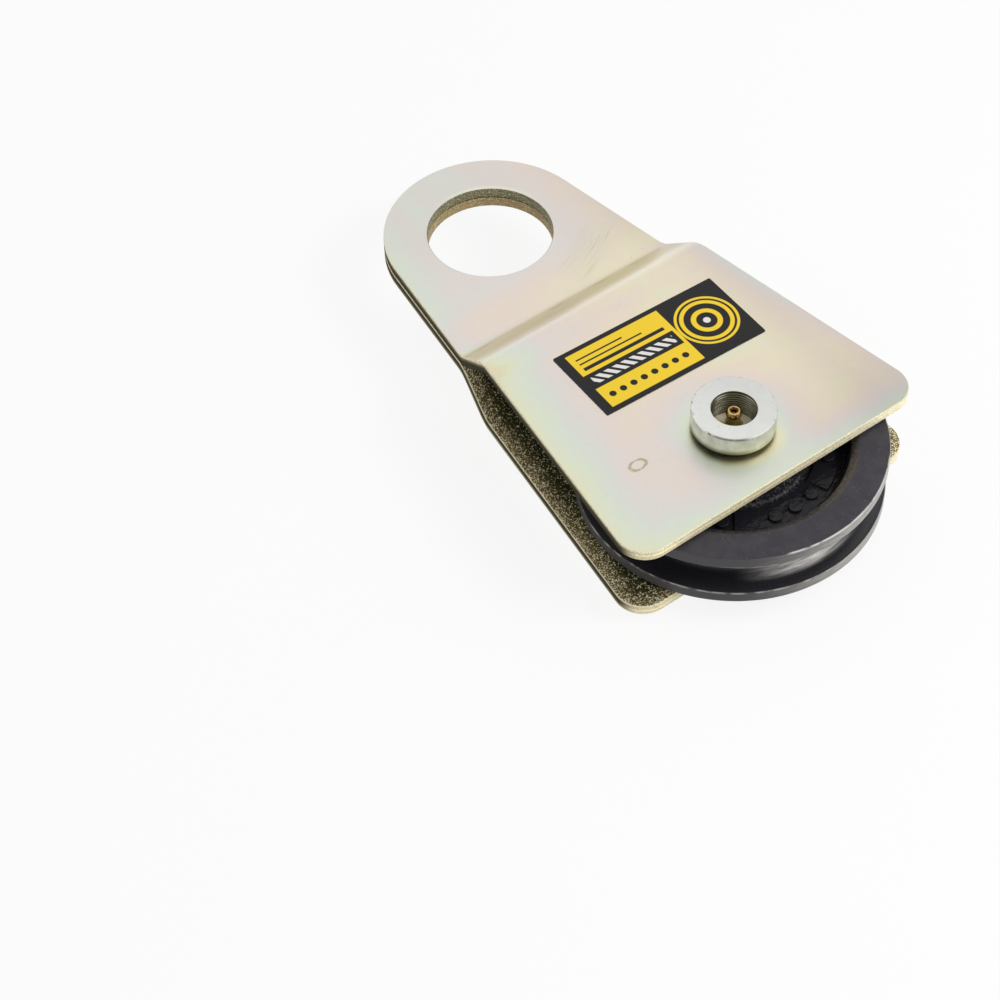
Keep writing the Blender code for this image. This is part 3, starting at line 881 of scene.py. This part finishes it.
def makeSheave():
    s = sheaveSizes
    radius, half = sheaveHigh.x, sheaveHigh.z - midZ
    flank = math.radians(s["flank"])
    grooveCentre = radius - s["grooveDeep"] + s["grooveRadius"]
    flankStart = (
        grooveCentre - s["grooveRadius"] * math.sin(flank),
        s["grooveRadius"] * math.cos(flank),
    )
    lipZ = flankStart[1] + (radius - flankStart[0]) * math.tan(flank)
    webStart, webEnd = s["hubFoot"] + s["fillet"], s["rimFoot"] - s["fillet"]
    wallTop, wallFoot = half - s["chamferDeep"], s["webHalf"] + s["fillet"]

    def stepsTo(x, z, endX, endZ, count):    # a straight line in short steps, for the cast lumps
        shares = [(i + 1) / count for i in range(count)]
        return [(x + (endX - x) * share, z + (endZ - z) * share) for share in shares]

    lipWide, lipHigh = s["lipRound"]
    hubSide = s["hub"] - s["edge"]
    moves = [
        (s["bore"], s["hubHalf"] - s["edge"]),
        ((s["bore"] + s["edge"], s["hubHalf"] - s["edge"]), -90, 4),
        (s["hub"] - s["hubFlat"], s["hubHalf"]),
        (hubSide, s["hubHalf"]),
        ((hubSide, s["hubHalf"] - s["edge"]), -75, 4),
        (s["hubFoot"], wallFoot),
        ((webStart, wallFoot), 90, 6),
        *stepsTo(webStart, s["webHalf"], webEnd, s["webHalf"], s["webLines"]),
        ((webEnd, wallFoot), 90, 6),
        *stepsTo(s["rimFoot"], wallFoot, s["rimInner"], wallTop, s["wallLines"]),
        (s["rimInner"] + s["chamferWide"] / 2, half - s["chamferDeep"] * s["chamferSag"]),
        (s["rimInner"] + s["chamferWide"], half - s["chamferEnd"]),
        (s["rimInner"] + s["chamferWide"] * 1.3, half),
        *topCorner(radius, half, s["rimEdge"], steps=5),
        (radius, lipZ + s["lipEdge"]),
        (radius - lipWide, lipZ + lipHigh),
        (radius - s["lipEdge"], lipZ - s["lipEdge"] * math.tan(flank)),
        flankStart,
        ((grooveCentre, 0), 90 - s["flank"], 12),
    ]
    sheave = turned("sheaveWheel", (s["bore"], 0), moves, s["steps"])

    def onPad(middle, normal):
        isFlat = abs(middle.z - s["webHalf"]) < 0.01 * mm and abs(normal.z) > 0.9
        return isFlat and isPad(middle.xy.length, math.degrees(math.atan2(middle.y, middle.x)))

    selectFaces(sheave, onPad)
    bpy.ops.mesh.inset(thickness=webPads["inset"], depth=0)
    bpy.ops.transform.translate(value=(0, 0, webPads["raise"]))
    bpy.ops.object.mode_set(mode="OBJECT")
    addBosses(sheave)
    applied(sheave, "MIRROR", use_axis=(False, False, True), use_mirror_merge=True,
            merge_threshold=mergeReach)
    editAll(sheave)
    bpy.ops.transform.translate(value=(0, 0, midZ))
    closeUp()
    roughWeb(sheave)
    smooth(sheave, degrees=40)
    return sheave


def roughWeb(sheave):    # the cast web and the walls round it are lumpy, the turned faces are not
    s = sheaveSizes
    group = sheave.vertex_groups.new(name="cast")
    for vertex in sheave.data.vertices:
        radius, height = vertex.co.xy.length, abs(vertex.co.z - midZ)
        onWeb = s["hub"] < radius < s["rimInner"] - s["castFromRim"]
        isMark = height > s["webHalf"] + s["markFoot"] and webPads["inner"] < radius < webPads["outer"]
        if onWeb and height < s["hubHalf"] - s["castFromHub"] and not isMark:
            group.add([vertex.index], 1.0, "REPLACE")
    for size, height in s["castLumps"].items():
        lumps = bpy.data.textures.new("castLumps", "CLOUDS")
        lumps.noise_scale = size
        lumps.noise_depth = 1
        applied(sheave, "DISPLACE", texture=lumps, strength=height, mid_level=0.5,
                vertex_group="cast", texture_coords="LOCAL")


castFinish = {
    "paint": (28, 27, 32),
    "paintPale": (58, 54, 58),
    "face": (57, 55, 61),
    "faceCloud": (72, 69, 74),
    "scratch": (120, 116, 112),
    "dust": (128, 124, 120),
    "land": (78, 76, 78),
    "wornBrown": (98, 90, 76),
    "bareSteel": (214, 211, 206),
    "dustySteel": (128, 124, 118),
    "grooveHighlightTint": (244, 240, 236),
    "hubGlints": (104, 101, 98),
}


def rimFace(f, colour, isFace, fine):
    # the turned face of the rim, cloudy, with dust and with fine scratches along short chords
    c = castFinish
    face = f.mix(f.noise(7, 3, twist=0.5).rise(0.35, 0.7) * 0.6, c["face"], c["faceCloud"])
    colour = f.mix(isFace, colour, f.shade(face, 0.82 + fine * 0.3))
    drift = f.noise(14, 1)
    hair = f.noise(0.5, 1, place=f.point(f.x * 0.5 + f.y * 0.5 + drift * 8, (f.x - f.y) * 0.02, 0))
    scratch = hair.rise(0.72, 0.8) * f.noise(5, 1).rise(0.5, 0.7)
    dust = f.cells(1.9).fall(0.06, 0.14) * f.noise(8, 1).rise(0.45, 0.6)
    return colour, scratch * isFace, dust * isFace


def blackCasting():
    c, s = castFinish, sheaveSizes
    f = Finish("blackCasting", Specular_IOR_Level=0.24, Coat_Roughness=0.28)
    height, turn = abs(f.z - midZ / mm), f.turn()
    radius, half = sheaveHigh.x / mm, (sheaveHigh.z - midZ) / mm
    rimInner, hubHalf = s["rimInner"] / mm, s["hubHalf"] / mm
    fine, broad = f.noise(0.6, 3), f.noise(9, 2)
    around = f.ringPoint(20, f.z)

    isFace = height.rise(half - 0.9, half - 0.2) * f.round.rise(rimInner + 1.5, rimInner + 3.4)
    colour, scratch, dust = rimFace(f, c["paint"], isFace, fine)
    colour = f.mix(broad * 0.12 * (1 - isFace), colour, c["paintPale"])
    isChamfer = f.round.window(rimInner - 0.4, rimInner + 3.0, 0.7) * height.rise(half - 2.4, half - 1.2)
    worn = 0.04 + f.noise(0.8, 3).rise(0.45, 0.75) * 0.6 + turn.window(-1.45, -0.85, 0.2) * 0.35
    colour = f.mix(isChamfer * worn, colour, c["wornBrown"])
    colour = f.mix(scratch * 0.7, colour, c["scratch"])
    colour = f.mix(dust * 0.6, colour, c["dust"])

    # bare steel on the outer land and on its edges; where it lies mostly on one side, it is a painted
    # reflection
    isLand = f.round.rise(radius - 0.45, radius - 0.1)
    rings = f.noise(0.35, 3, place=f.ringPoint(5, f.z * 1.3))
    chips = f.noise(1.5, 3, place=around)
    reflectionSideBare = turn.window(-1.75, 0.6, 0.5) * (0.55 + rings * 0.7)
    lipEdge = height.fall(7.9, 8.6) * chips.rise(0.4, 0.62)
    paintedLine = height.hump(half - 1.7, 0.32)
    landBare = (reflectionSideBare + lipEdge * 0.7).atMost(1) * (1 - paintedLine * 0.6) * isLand
    colour = f.mix(isLand * 0.8, colour, c["land"])
    colour = f.mix(landBare, colour, f.mix(rings, c["dustySteel"], c["bareSteel"]))
    corner = f.round.hump(radius - 0.25, 0.6) * height.hump(half - 0.25, 0.6)
    # the corner's wear is raised on one side as a painted highlight
    wear = f.noise(9, 3, place=around) + turn.window(-1.9, -0.9, 0.2) * 0.2
    cornerBare = corner * wear.rise(0.5, 0.64) * chips.rise(0.25, 0.5)
    colour = f.mix(cornerBare, colour, c["bareSteel"])
    bare = landBare.atLeast(cornerBare)

    # a painted highlight in the groove on the side towards the foot, streaked round the groove and a
    # little metallic
    lie = f.noise(0.6, 2, place=f.ringPoint(4, f.round * 0.8))
    inGroove = f.round.fall(54.8, 58.6) * height.fall(7.0, 7.6) * f.round.rise(49, 51)
    grooveHighlight = turn.hump(-1.66, 0.6) * inGroove * (0.4 + lie.rise(0.3, 0.65) * 0.6)
    colour = f.mix(grooveHighlight, colour, c["grooveHighlightTint"])

    isCast = height.fall(hubHalf - 2, hubHalf - 0.8) * f.round.fall(rimInner - 1.5, rimInner - 0.3)
    isGroove = height.fall(7.2, 7.8) * f.round.fall(radius - 0.6, radius - 0.2) * f.round.rise(49, 50.4)
    # painted glints in specks round the hub
    hubGlints = isCast * f.round.window(27.5, 31.5, 1.0) * f.noise(1.1, 2).rise(0.5, 0.66)
    colour = f.mix(hubGlints * 0.5, colour, c["hubGlints"])
    rough = 0.4 - isCast * 0.2 - isGroove * 0.16 + fine * 0.08 - bare * 0.08
    lumps = f.noise(1.5, 3) * isCast + f.noise(3.5, 1) * isCast * 1.2 + f.noise(2.4, 2) * isGroove * 0.15
    f.bump(lumps + fine * 0.05, 0.5 * mm, 0.6)
    metallic = bare * 0.9 + grooveHighlight * 0.15
    return f.set(Base_Color=colour, Roughness=rough, Metallic=metallic, Coat_Weight=isGroove * 0.5)


sheaveWheel = makeSheave()
fit(sheaveWheel, "sheave_wheel", "black_casting", blackCasting(), "sheave")
print("sheave made,", len(sheaveWheel.data.polygons), "faces")


# Pin with its head, and the collar on its back end

pinSizes = {
    "shank": 12.5 * mm,
    "spigot": 10 * mm,
    "shoulder": 11.6 * mm,
    "headThick": 9 * mm,
    "headEdge": 0.7 * mm,
    "footEdge": 0.3 * mm,
    "recess": 9.15 * mm,
    "recessDeep": 11.85 * mm,
    "lip": 0.6 * mm,
    "ridges": 8,
    "ridgeFoot": 0.6 * mm,
    "ridgeDeep": 0.16 * mm,
    "spigotEdge": 0.4 * mm,
    "steps": 128,
    "threadHole": 3 * mm,
    "threadDeep": 6.1 * mm,
    "greaseWay": 1.9 * mm,
    "holeSides": 32,
    "holeOver": 1 * mm,    # how far the tools that cut the holes reach past the metal
    "wayOver": 0.6 * mm,
    "crossOver": 1.5 * mm,
}
collarSizes = {"edge": 0.8 * mm, "play": 0.3 * mm, "boreEdge": 0.3 * mm}


def makePin():
    s = pinSizes
    head, top = pinHigh.x, pinHigh.z
    floorZ, under = top - s["recessDeep"], top - s["headThick"]
    pitch = (s["recessDeep"] - 2 * s["lip"] - s["ridgeFoot"]) / s["ridges"]
    recess, lipZ = s["recess"], top - s["lip"]
    ridges = []
    for i in range(s["ridges"]):
        z = floorZ + s["ridgeFoot"] + i * pitch
        ridges += [
            (recess, z),
            (recess, z + pitch * 0.3),
            (recess + s["ridgeDeep"], z + pitch * 0.45),
            (recess + s["ridgeDeep"], z + pitch * 0.85),
        ]
    moves = [
        (recess, floorZ),
        *ridges,
        (recess, top - s["lip"] * 1.6),
        (recess, lipZ),
        ((recess + s["lip"], lipZ), -90, 4),
        *topCorner(head, top, s["headEdge"], steps=5),
        (head, under + s["footEdge"]),
        (head - s["footEdge"], under),
        (s["shank"], under),
        (s["shank"], s["shoulder"]),
        (s["spigot"], s["shoulder"]),
        (s["spigot"], s["spigotEdge"]),
        (s["spigot"] - s["spigotEdge"], 0),
        (0, 0),
    ]
    pin = turned("axlePin", (0, floorZ), moves, s["steps"])
    threadFoot = floorZ - s["threadDeep"]
    sides, reach = s["holeSides"], s["shank"] + s["crossOver"]
    carve(pin, rod("threadHole", s["threadHole"], threadFoot, floorZ + s["holeOver"], sides))
    carve(pin, rod("greaseWay", s["greaseWay"], midZ, threadFoot + s["wayOver"], sides))
    across = rod("crossWay", s["greaseWay"], midZ - reach, midZ + reach, sides)
    editAll(across)
    bpy.ops.transform.rotate(value=math.pi / 2, orient_axis="Y", center_override=(0, 0, midZ))
    bpy.ops.object.mode_set(mode="OBJECT")
    carve(pin, across)
    smooth(pin, degrees=30)
    return pin


def makeCollar():
    s, radius, thick = collarSizes, collarHigh.x, collarHigh.z
    bore = pinSizes["spigot"] + s["play"]
    moves = [
        (bore, thick),
        *topCorner(radius, thick, s["edge"], steps=4),
        *footCorner(radius, 0, s["edge"], steps=4),
        (bore + s["boreEdge"], 0),
        (bore, s["boreEdge"]),
    ]
    collar = turned("rearCollar", (bore, s["boreEdge"]), moves, pinSizes["steps"])
    smooth(collar, degrees=30)
    return collar


turnedFinish = {
    "face": (216, 217, 213),
    "side": (228, 230, 218),
    "sideFootShade": (104, 102, 80),
    "wall": (112, 110, 90),
    "arc": (240, 238, 226),
    "floor": (255, 243, 212),
    "nick": (52, 48, 44),
    "spot": (128, 124, 112),
}


def turnedZinc(name, topZ, radius):
    t = turnedFinish
    f = Finish(name)
    top, radius, recess = topZ / mm, radius / mm, pinSizes["recess"] / mm
    isFace = f.z.rise(top - 0.5, top - 0.1)
    streaks = f.noise(1.4, 2, place=f.ringPoint(6, f.z * 0.25))
    turn = f.turn()
    # painted highlight: the side is a little lighter on one side
    side = f.shade(t["side"], 0.5 + streaks * 0.74 + turn.window(-1.3, 0.2, 0.5) * 0.04)
    leftward = ((f.x * -1 + f.y * -0.25) / f.round).rise(0.2, 1)
    # painted shade: the foot of the side darkened, most on the left
    side = f.mix(f.z.fall(top - 8.8, top - 5.5) * (0.3 + leftward * 0.7), side, t["sideFootShade"])
    # painted shade: the top face darker towards one side
    faceShadeTilt = (f.x * 0.87 + f.y * 0.5) * (0.07 / radius)
    face = f.shade(t["face"], 0.92 + f.noise(4, 3) * 0.12 + f.noise(0.6, 3) * 0.1 - faceShadeTilt)
    colour = f.mix(isFace, side, face)

    # the recess: painted shade darkens its walls, painted highlights lie in arcs on the tool's ridges on
    # two sides, and the floor is bright
    isRecess = f.round.fall(recess + 0.1, recess + 0.5) * f.z.window(top - 20, top - 0.5, 0.2)
    arcs = f.noise(0.6, 2, place=f.ringPoint(0.6, f.z))
    lit = turn.hump(1.57, 0.55) * 0.9 + turn.hump(0, 0.7) * 0.4
    wall = f.mix(arcs.rise(0.36, 0.6) * lit, t["wall"], t["arc"])
    isFloor = f.round.fall(recess - 0.7, recess - 0.2)
    wall = f.mix(isFloor, wall, t["floor"])
    colour = f.mix(isRecess, colour, wall)

    # dark marks on the rim's edge: scattered nicks, and a long dark streak on the side towards the foot
    rim = f.round.hump(radius - 0.2, 0.9) * f.z.hump(top - 0.3, 0.8)
    knocked = f.noise(1.7, 2, place=f.point(f.x, f.y, 0))
    nicks = knocked.rise(0.58, 0.66).atLeast(turn.window(-2.8, -1.95, 0.15) * knocked.rise(0.3, 0.42))
    colour = f.mix(rim * nicks * 0.8, colour, t["nick"])
    spots = f.cells(2.6).fall(0.05, 0.13) * f.noise(6, 1).rise(0.5, 0.65)
    colour = f.mix(spots * 0.5, colour, t["spot"])
    lines = f.noise(0.35, 2, place=f.point(f.round, f.z, 0))
    f.bump(lines * 0.5 + f.noise(0.3, 2) * 0.25, 0.08 * mm, 0.5)
    rough = 0.3 + isFace * 0.04 + f.noise(3, 2) * 0.12
    return f.set(Base_Color=colour, Roughness=rough, Metallic=1 - isRecess * isFloor)


axlePin = makePin()
pinZinc = turnedZinc("pinZinc", pinHigh.z, pinHigh.x)
fit(axlePin, "fixed_plate", "bright_zinc", pinZinc, "axle_pin")
rearCollar = makeCollar()
collarZinc = turnedZinc("collarZinc", collarHigh.z, collarHigh.x)
fit(rearCollar, "fixed_plate", "bright_zinc", collarZinc, "rear_collar")
print("pin and collar made")


# Grease nipple and its ball

nippleSizes = {
    "thread": 2.7 * mm,
    "hexFlats": 7 * mm,
    "hexHeight": 3 * mm,
    "neck": 2.5 * mm,
    "head": 3.25 * mm,
    "tip": 2.45 * mm,
    "headHeight": 1.9 * mm,
    "tipTaper": 1.1 * mm,
    "mouth": 1.5 * mm,
    "throat": 0.95 * mm,
    "throatDeep": 1.1 * mm,
    "seatDeep": 0.75 * mm,
    "chamber": 1.6 * mm,
    "chamberDeep": 8.8 * mm,
    "outlet": 1 * mm,
    "boreOver": 0.3 * mm,
    "height": 10.1 * mm,
    "threadTurns": 7,
    "threadCut": 0.35 * mm,
    "rimWide": 0.25 * mm,
    "tipEdge": 0.2 * mm,
    "crown": 0.15 * mm,
    "crownWide": 0.7 * mm,
    "cornerCut": 0.45 * mm,
    "hexFootEdge": 0.2 * mm,
    "shoulderIn": 0.3 * mm,
    "steps": 64,
    "crownSteps": 48,
}
ballSizes = {"slack": 0.12 * mm, "steps": 32}


def makeNipple():
    s = nippleSizes
    low, top = nippleLow.z, nippleHigh.z
    base = top - s["height"]
    hexTop = base + s["hexHeight"]
    neckZ = top - s["headHeight"] - s["tipTaper"]
    flat = s["hexFlats"] / 2
    shoulder = flat - s["shoulderIn"]
    core = s["thread"] - s["threadCut"]
    pitch = (base - low) / (s["threadTurns"] + 1)
    thread = []
    for i in range(s["threadTurns"]):    # the ridges of the thread, from the hexagon down
        z = base - pitch * (i + 0.5)
        thread += [(s["thread"], z), (core, z - pitch / 2)]
    tip = s["tip"] - s["tipEdge"]
    moves = [
        (s["mouth"] + s["rimWide"], top),
        (tip, top),
        ((tip, top - s["tipEdge"]), -60, 3),
        (s["head"], top - s["tipTaper"]),
        (s["head"], top - s["tipTaper"] - s["headHeight"] / 3),
        (s["neck"], neckZ),
        (s["neck"], (neckZ + hexTop) / 2),
        (shoulder, hexTop),
        (shoulder, base),
        (s["thread"], base),
        *thread,
        (core, low),
        (0, low),
    ]
    nipple = turned("greaseNipple", (0, top), moves, s["steps"])
    crownZ = hexTop - s["crown"]
    outer = flat + s["crownWide"]
    crown = [
        (flat, crownZ),
        (outer, crownZ - s["cornerCut"]),
        (outer, base + s["cornerCut"] / 2),
        (flat + s["hexFootEdge"], base),
        (0, base),
    ]
    hexagon = rod("hexagon", flat / math.cos(math.pi / 6), base, crownZ, 6)
    carve(hexagon, turned("crown", (0, hexTop), crown, s["crownSteps"]), "INTERSECT")
    carve(nipple, hexagon, "UNION")
    throatZ = top - s["throatDeep"]
    chamberZ = top - s["chamberDeep"]
    over = s["boreOver"]
    bore = [
        (s["mouth"], top + over),
        (s["mouth"], top),
        (s["throat"], top - (s["mouth"] - s["throat"])),
        (s["throat"], throatZ),
        (s["chamber"], throatZ - s["seatDeep"]),
        (s["chamber"], chamberZ),
        (s["outlet"], chamberZ),
        (s["outlet"], low - over),
        (0, low - over),
    ]
    carve(nipple, turned("bore", (0, top + over), bore, s["steps"]))
    smooth(nipple, degrees=30)
    return nipple


def makeBall():    # a little smaller than its solid, so that it clears the pressed spring
    s = ballSizes
    low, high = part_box("nipple_ball")
    radius, middle = (high.z - low.z) / 2 - s["slack"], (high.z + low.z) / 2
    half = [((0, middle), 180, s["steps"] // 2)]
    ball = turned("nippleBall", (0, middle - radius), half, s["steps"])
    smooth(ball, degrees=60)
    return ball


metalTints = {    # pale, dark and how rough
    "ballSteel": ((132, 112, 96), (84, 66, 54), 0.26),
    "washerSteel": ((186, 184, 178), (140, 134, 120), 0.3),
    "bushBronze": ((190, 142, 86), (130, 92, 52), 0.34),
    "springSteel": ((176, 174, 170), (110, 106, 98), 0.3),
}
brassTints = {
    "clean": (168, 138, 72),
    "grime": (70, 52, 22),
    "tip": (214, 188, 130),
    "mouth": (84, 46, 28),
    "body": (206, 178, 100),
}


def metal(name):
    pale, dark, rough = metalTints[name]
    f = Finish(name, Metallic=1.0)
    cloudy = f.noise(2.0, 3)
    lines = f.noise(0.5, 2, place=f.point(f.round, f.z, 0))
    colour = f.mix(cloudy.rise(0.35, 0.75) * 0.8, pale, dark)
    f.bump(lines, 0.03 * mm, 0.5)
    return f.set(Base_Color=colour, Roughness=rough + cloudy * 0.12)


def brassFinish():
    b = brassTints
    f = Finish("nippleBrass")
    tipTop = nippleHigh.z / mm
    grime = f.noise(1.0, 3, place=f.point(f.x, f.y, f.z * 0.3))
    colour = f.mix(grime.rise(0.34, 0.62), b["clean"], b["grime"])
    tip = f.round.hump(nippleSizes["tip"] / mm - 0.25, 0.55) * f.z.rise(tipTop - 0.5, tipTop - 0.1)
    colour = f.mix(tip * 0.9, colour, b["tip"])
    colour = f.mix(f.round.fall(1.3, 1.7), colour, b["mouth"])
    body = f.z.fall(tipTop - 3.4, tipTop - 2.6)
    colour = f.mix(body * 0.6, colour, b["body"])
    f.bump(grime, 0.06 * mm, 0.5)
    return f.set(Base_Color=colour, Roughness=0.24 + grime * 0.15, Metallic=1 - body * 0.5)


greaseNipple = makeNipple()
fit(greaseNipple, "fixed_plate", "brass", brassFinish(), "grease_nipple")
nippleBall = makeBall()
fit(nippleBall, "ball_valve", "bright_steel", metal("ballSteel"), "nipple_ball")
print("nipple and ball made")


# Thrust washers as turned rings; the bush and the spring keep their solids

washerSizes = {"play": 0.5 * mm, "edge": 0.15 * mm, "steps": 96}


def makeWasher(name, node):
    s = washerSizes
    low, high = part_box(node)
    bore = pinSizes["shank"] + s["play"]
    moves = [
        (bore, high.z),
        *topCorner(high.x, high.z, s["edge"], steps=3),
        *footCorner(high.x, low.z, s["edge"], steps=3),
        (bore, low.z),
    ]
    washer = turned(name, (bore, low.z), moves, s["steps"])
    smooth(washer, degrees=35)
    return washer


washerSteel = metal("washerSteel")
for end in ("front", "rear"):
    node = end + "_thrust_washer"
    fit(makeWasher(end + "Washer", node), end + "_washer", "bright_steel", washerSteel, node)
keptSolids = {"sheave_bush": metal("bushBronze"), "nipple_spring": metal("springSteel")}
for node, material in keptSolids.items():
    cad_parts[node].data.materials.clear()
    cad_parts[node].data.materials.append(material)
print("washers made, bush and spring kept")


# Label: a thin sheet with a printed pattern of a wheel, a rope band, lines and dots

labelPrint = {    # sizes of the sheet in metres, of the print in millimetres from its middle
    "width": 79.9 * mm,
    "height": 37.5 * mm,
    "corner": 0.6 * mm,
    "cornerSteps": 5,
    "turn": math.radians(-2.4),
    "yellow": (250, 213, 52),
    "black": (27, 25, 27),
    "white": (236, 234, 230),
    "soft": 0.12,
    "border": 2.3,
    "field": (-35.6, 10.5),
    "band": (-40, 9.0, -4.8, 3.6),
    "rope": (-33.6, 7.0, 2.1),
    "strandPitch": 4.2,
    "lines": ((-33, 7, 5.6, 7.4), (-33, -2, 9.3, 10.1), (-33, -10, 12.0, 12.8)),
    "dots": (-34, 7.6, -10.6),
    "dotPitch": 5.2,
    "dotRadius": 1.5,
    "wheelX": 24.2,
    "wheelRings": (
        (0, 13.6, "yellow"),
        (0, 1.6, "white"),
        (1.6, 4.4, "black"),
        (6.6, 9.6, "black"),
        (11.4, 12.4, "black"),
    ),
}


def makeLabel():
    p = labelPrint
    centre = (labelLow + labelHigh) / 2
    startFresh()
    bpy.ops.mesh.primitive_plane_add(size=1, location=(centre.x, centre.y, labelLow.z))
    bpy.context.object.scale = (p["width"], p["height"], 1)
    bpy.context.object.rotation_euler.z = p["turn"]
    label = takeName("label")
    bpy.ops.mesh.bevel(offset=p["corner"], segments=p["cornerSteps"], affect="VERTICES")
    bpy.ops.mesh.select_all(action="SELECT")
    thick = labelHigh.z - labelLow.z
    bpy.ops.mesh.extrude_region_move(TRANSFORM_OT_translate={"value": (0, 0, thick)})
    closeUp()
    smooth(label, degrees=30)
    return label


def labelFinish():
    p = labelPrint
    f = Finish("labelVinyl", Specular_IOR_Level=0.25)
    centre = (labelLow + labelHigh) / 2 / mm
    across, along = f.x - centre.x, f.y - centre.y
    u = across * math.cos(p["turn"]) + along * math.sin(p["turn"])
    v = along * math.cos(p["turn"]) - across * math.sin(p["turn"])
    soft = p["soft"]

    def block(left, right, low, high):
        return u.window(left, right, soft) * v.window(low, high, soft)

    fieldHalf = p["height"] / 2 / mm - p["border"]
    colour = f.mix(block(*p["field"], -fieldHalf, fieldHalf), p["black"], p["yellow"])
    colour = f.mix(block(*p["band"]), colour, p["black"])
    middle = (p["band"][2] + p["band"][3]) / 2
    left, right, ropeHalf = p["rope"]
    strand = ((u + (v - middle) * 0.9) * (2 * math.pi / p["strandPitch"])).sine().rise(-0.35, -0.1)
    rope = block(left, right, middle - ropeHalf, middle + ropeHalf) * strand
    colour = f.mix(rope, colour, p["white"])
    for line in p["lines"]:
        colour = f.mix(block(*line), colour, p["black"])

    left, right, dotY = p["dots"]
    pitch, radius = p["dotPitch"], p["dotRadius"]
    away = f.node("ShaderNodeMath", {"operation": "PINGPONG"}, {0: u + 100 * pitch, 1: pitch / 2})
    fromDot = (away * away + (v - dotY) * (v - dotY)) ** 0.5
    dots = fromDot.fall(radius - soft, radius + soft) * u.window(left, right, soft)
    colour = f.mix(dots, colour, p["black"])

    fromWheel = ((u - p["wheelX"]) * (u - p["wheelX"]) + v * v) ** 0.5
    for inner, outer, ink in p["wheelRings"]:
        colour = f.mix(fromWheel.window(inner, outer, soft), colour, p[ink])
    wear = f.noise(0.5, 2)
    colour = f.shade(colour, 0.95 + wear * 0.08)
    f.bump(wear, 0.02 * mm, 0.3)
    return f.set(Base_Color=colour, Roughness=0.32 + f.noise(6, 2) * 0.12)


label = makeLabel()
fit(label, "swing_plate", "label_vinyl", labelFinish(), "label")
print("label made")
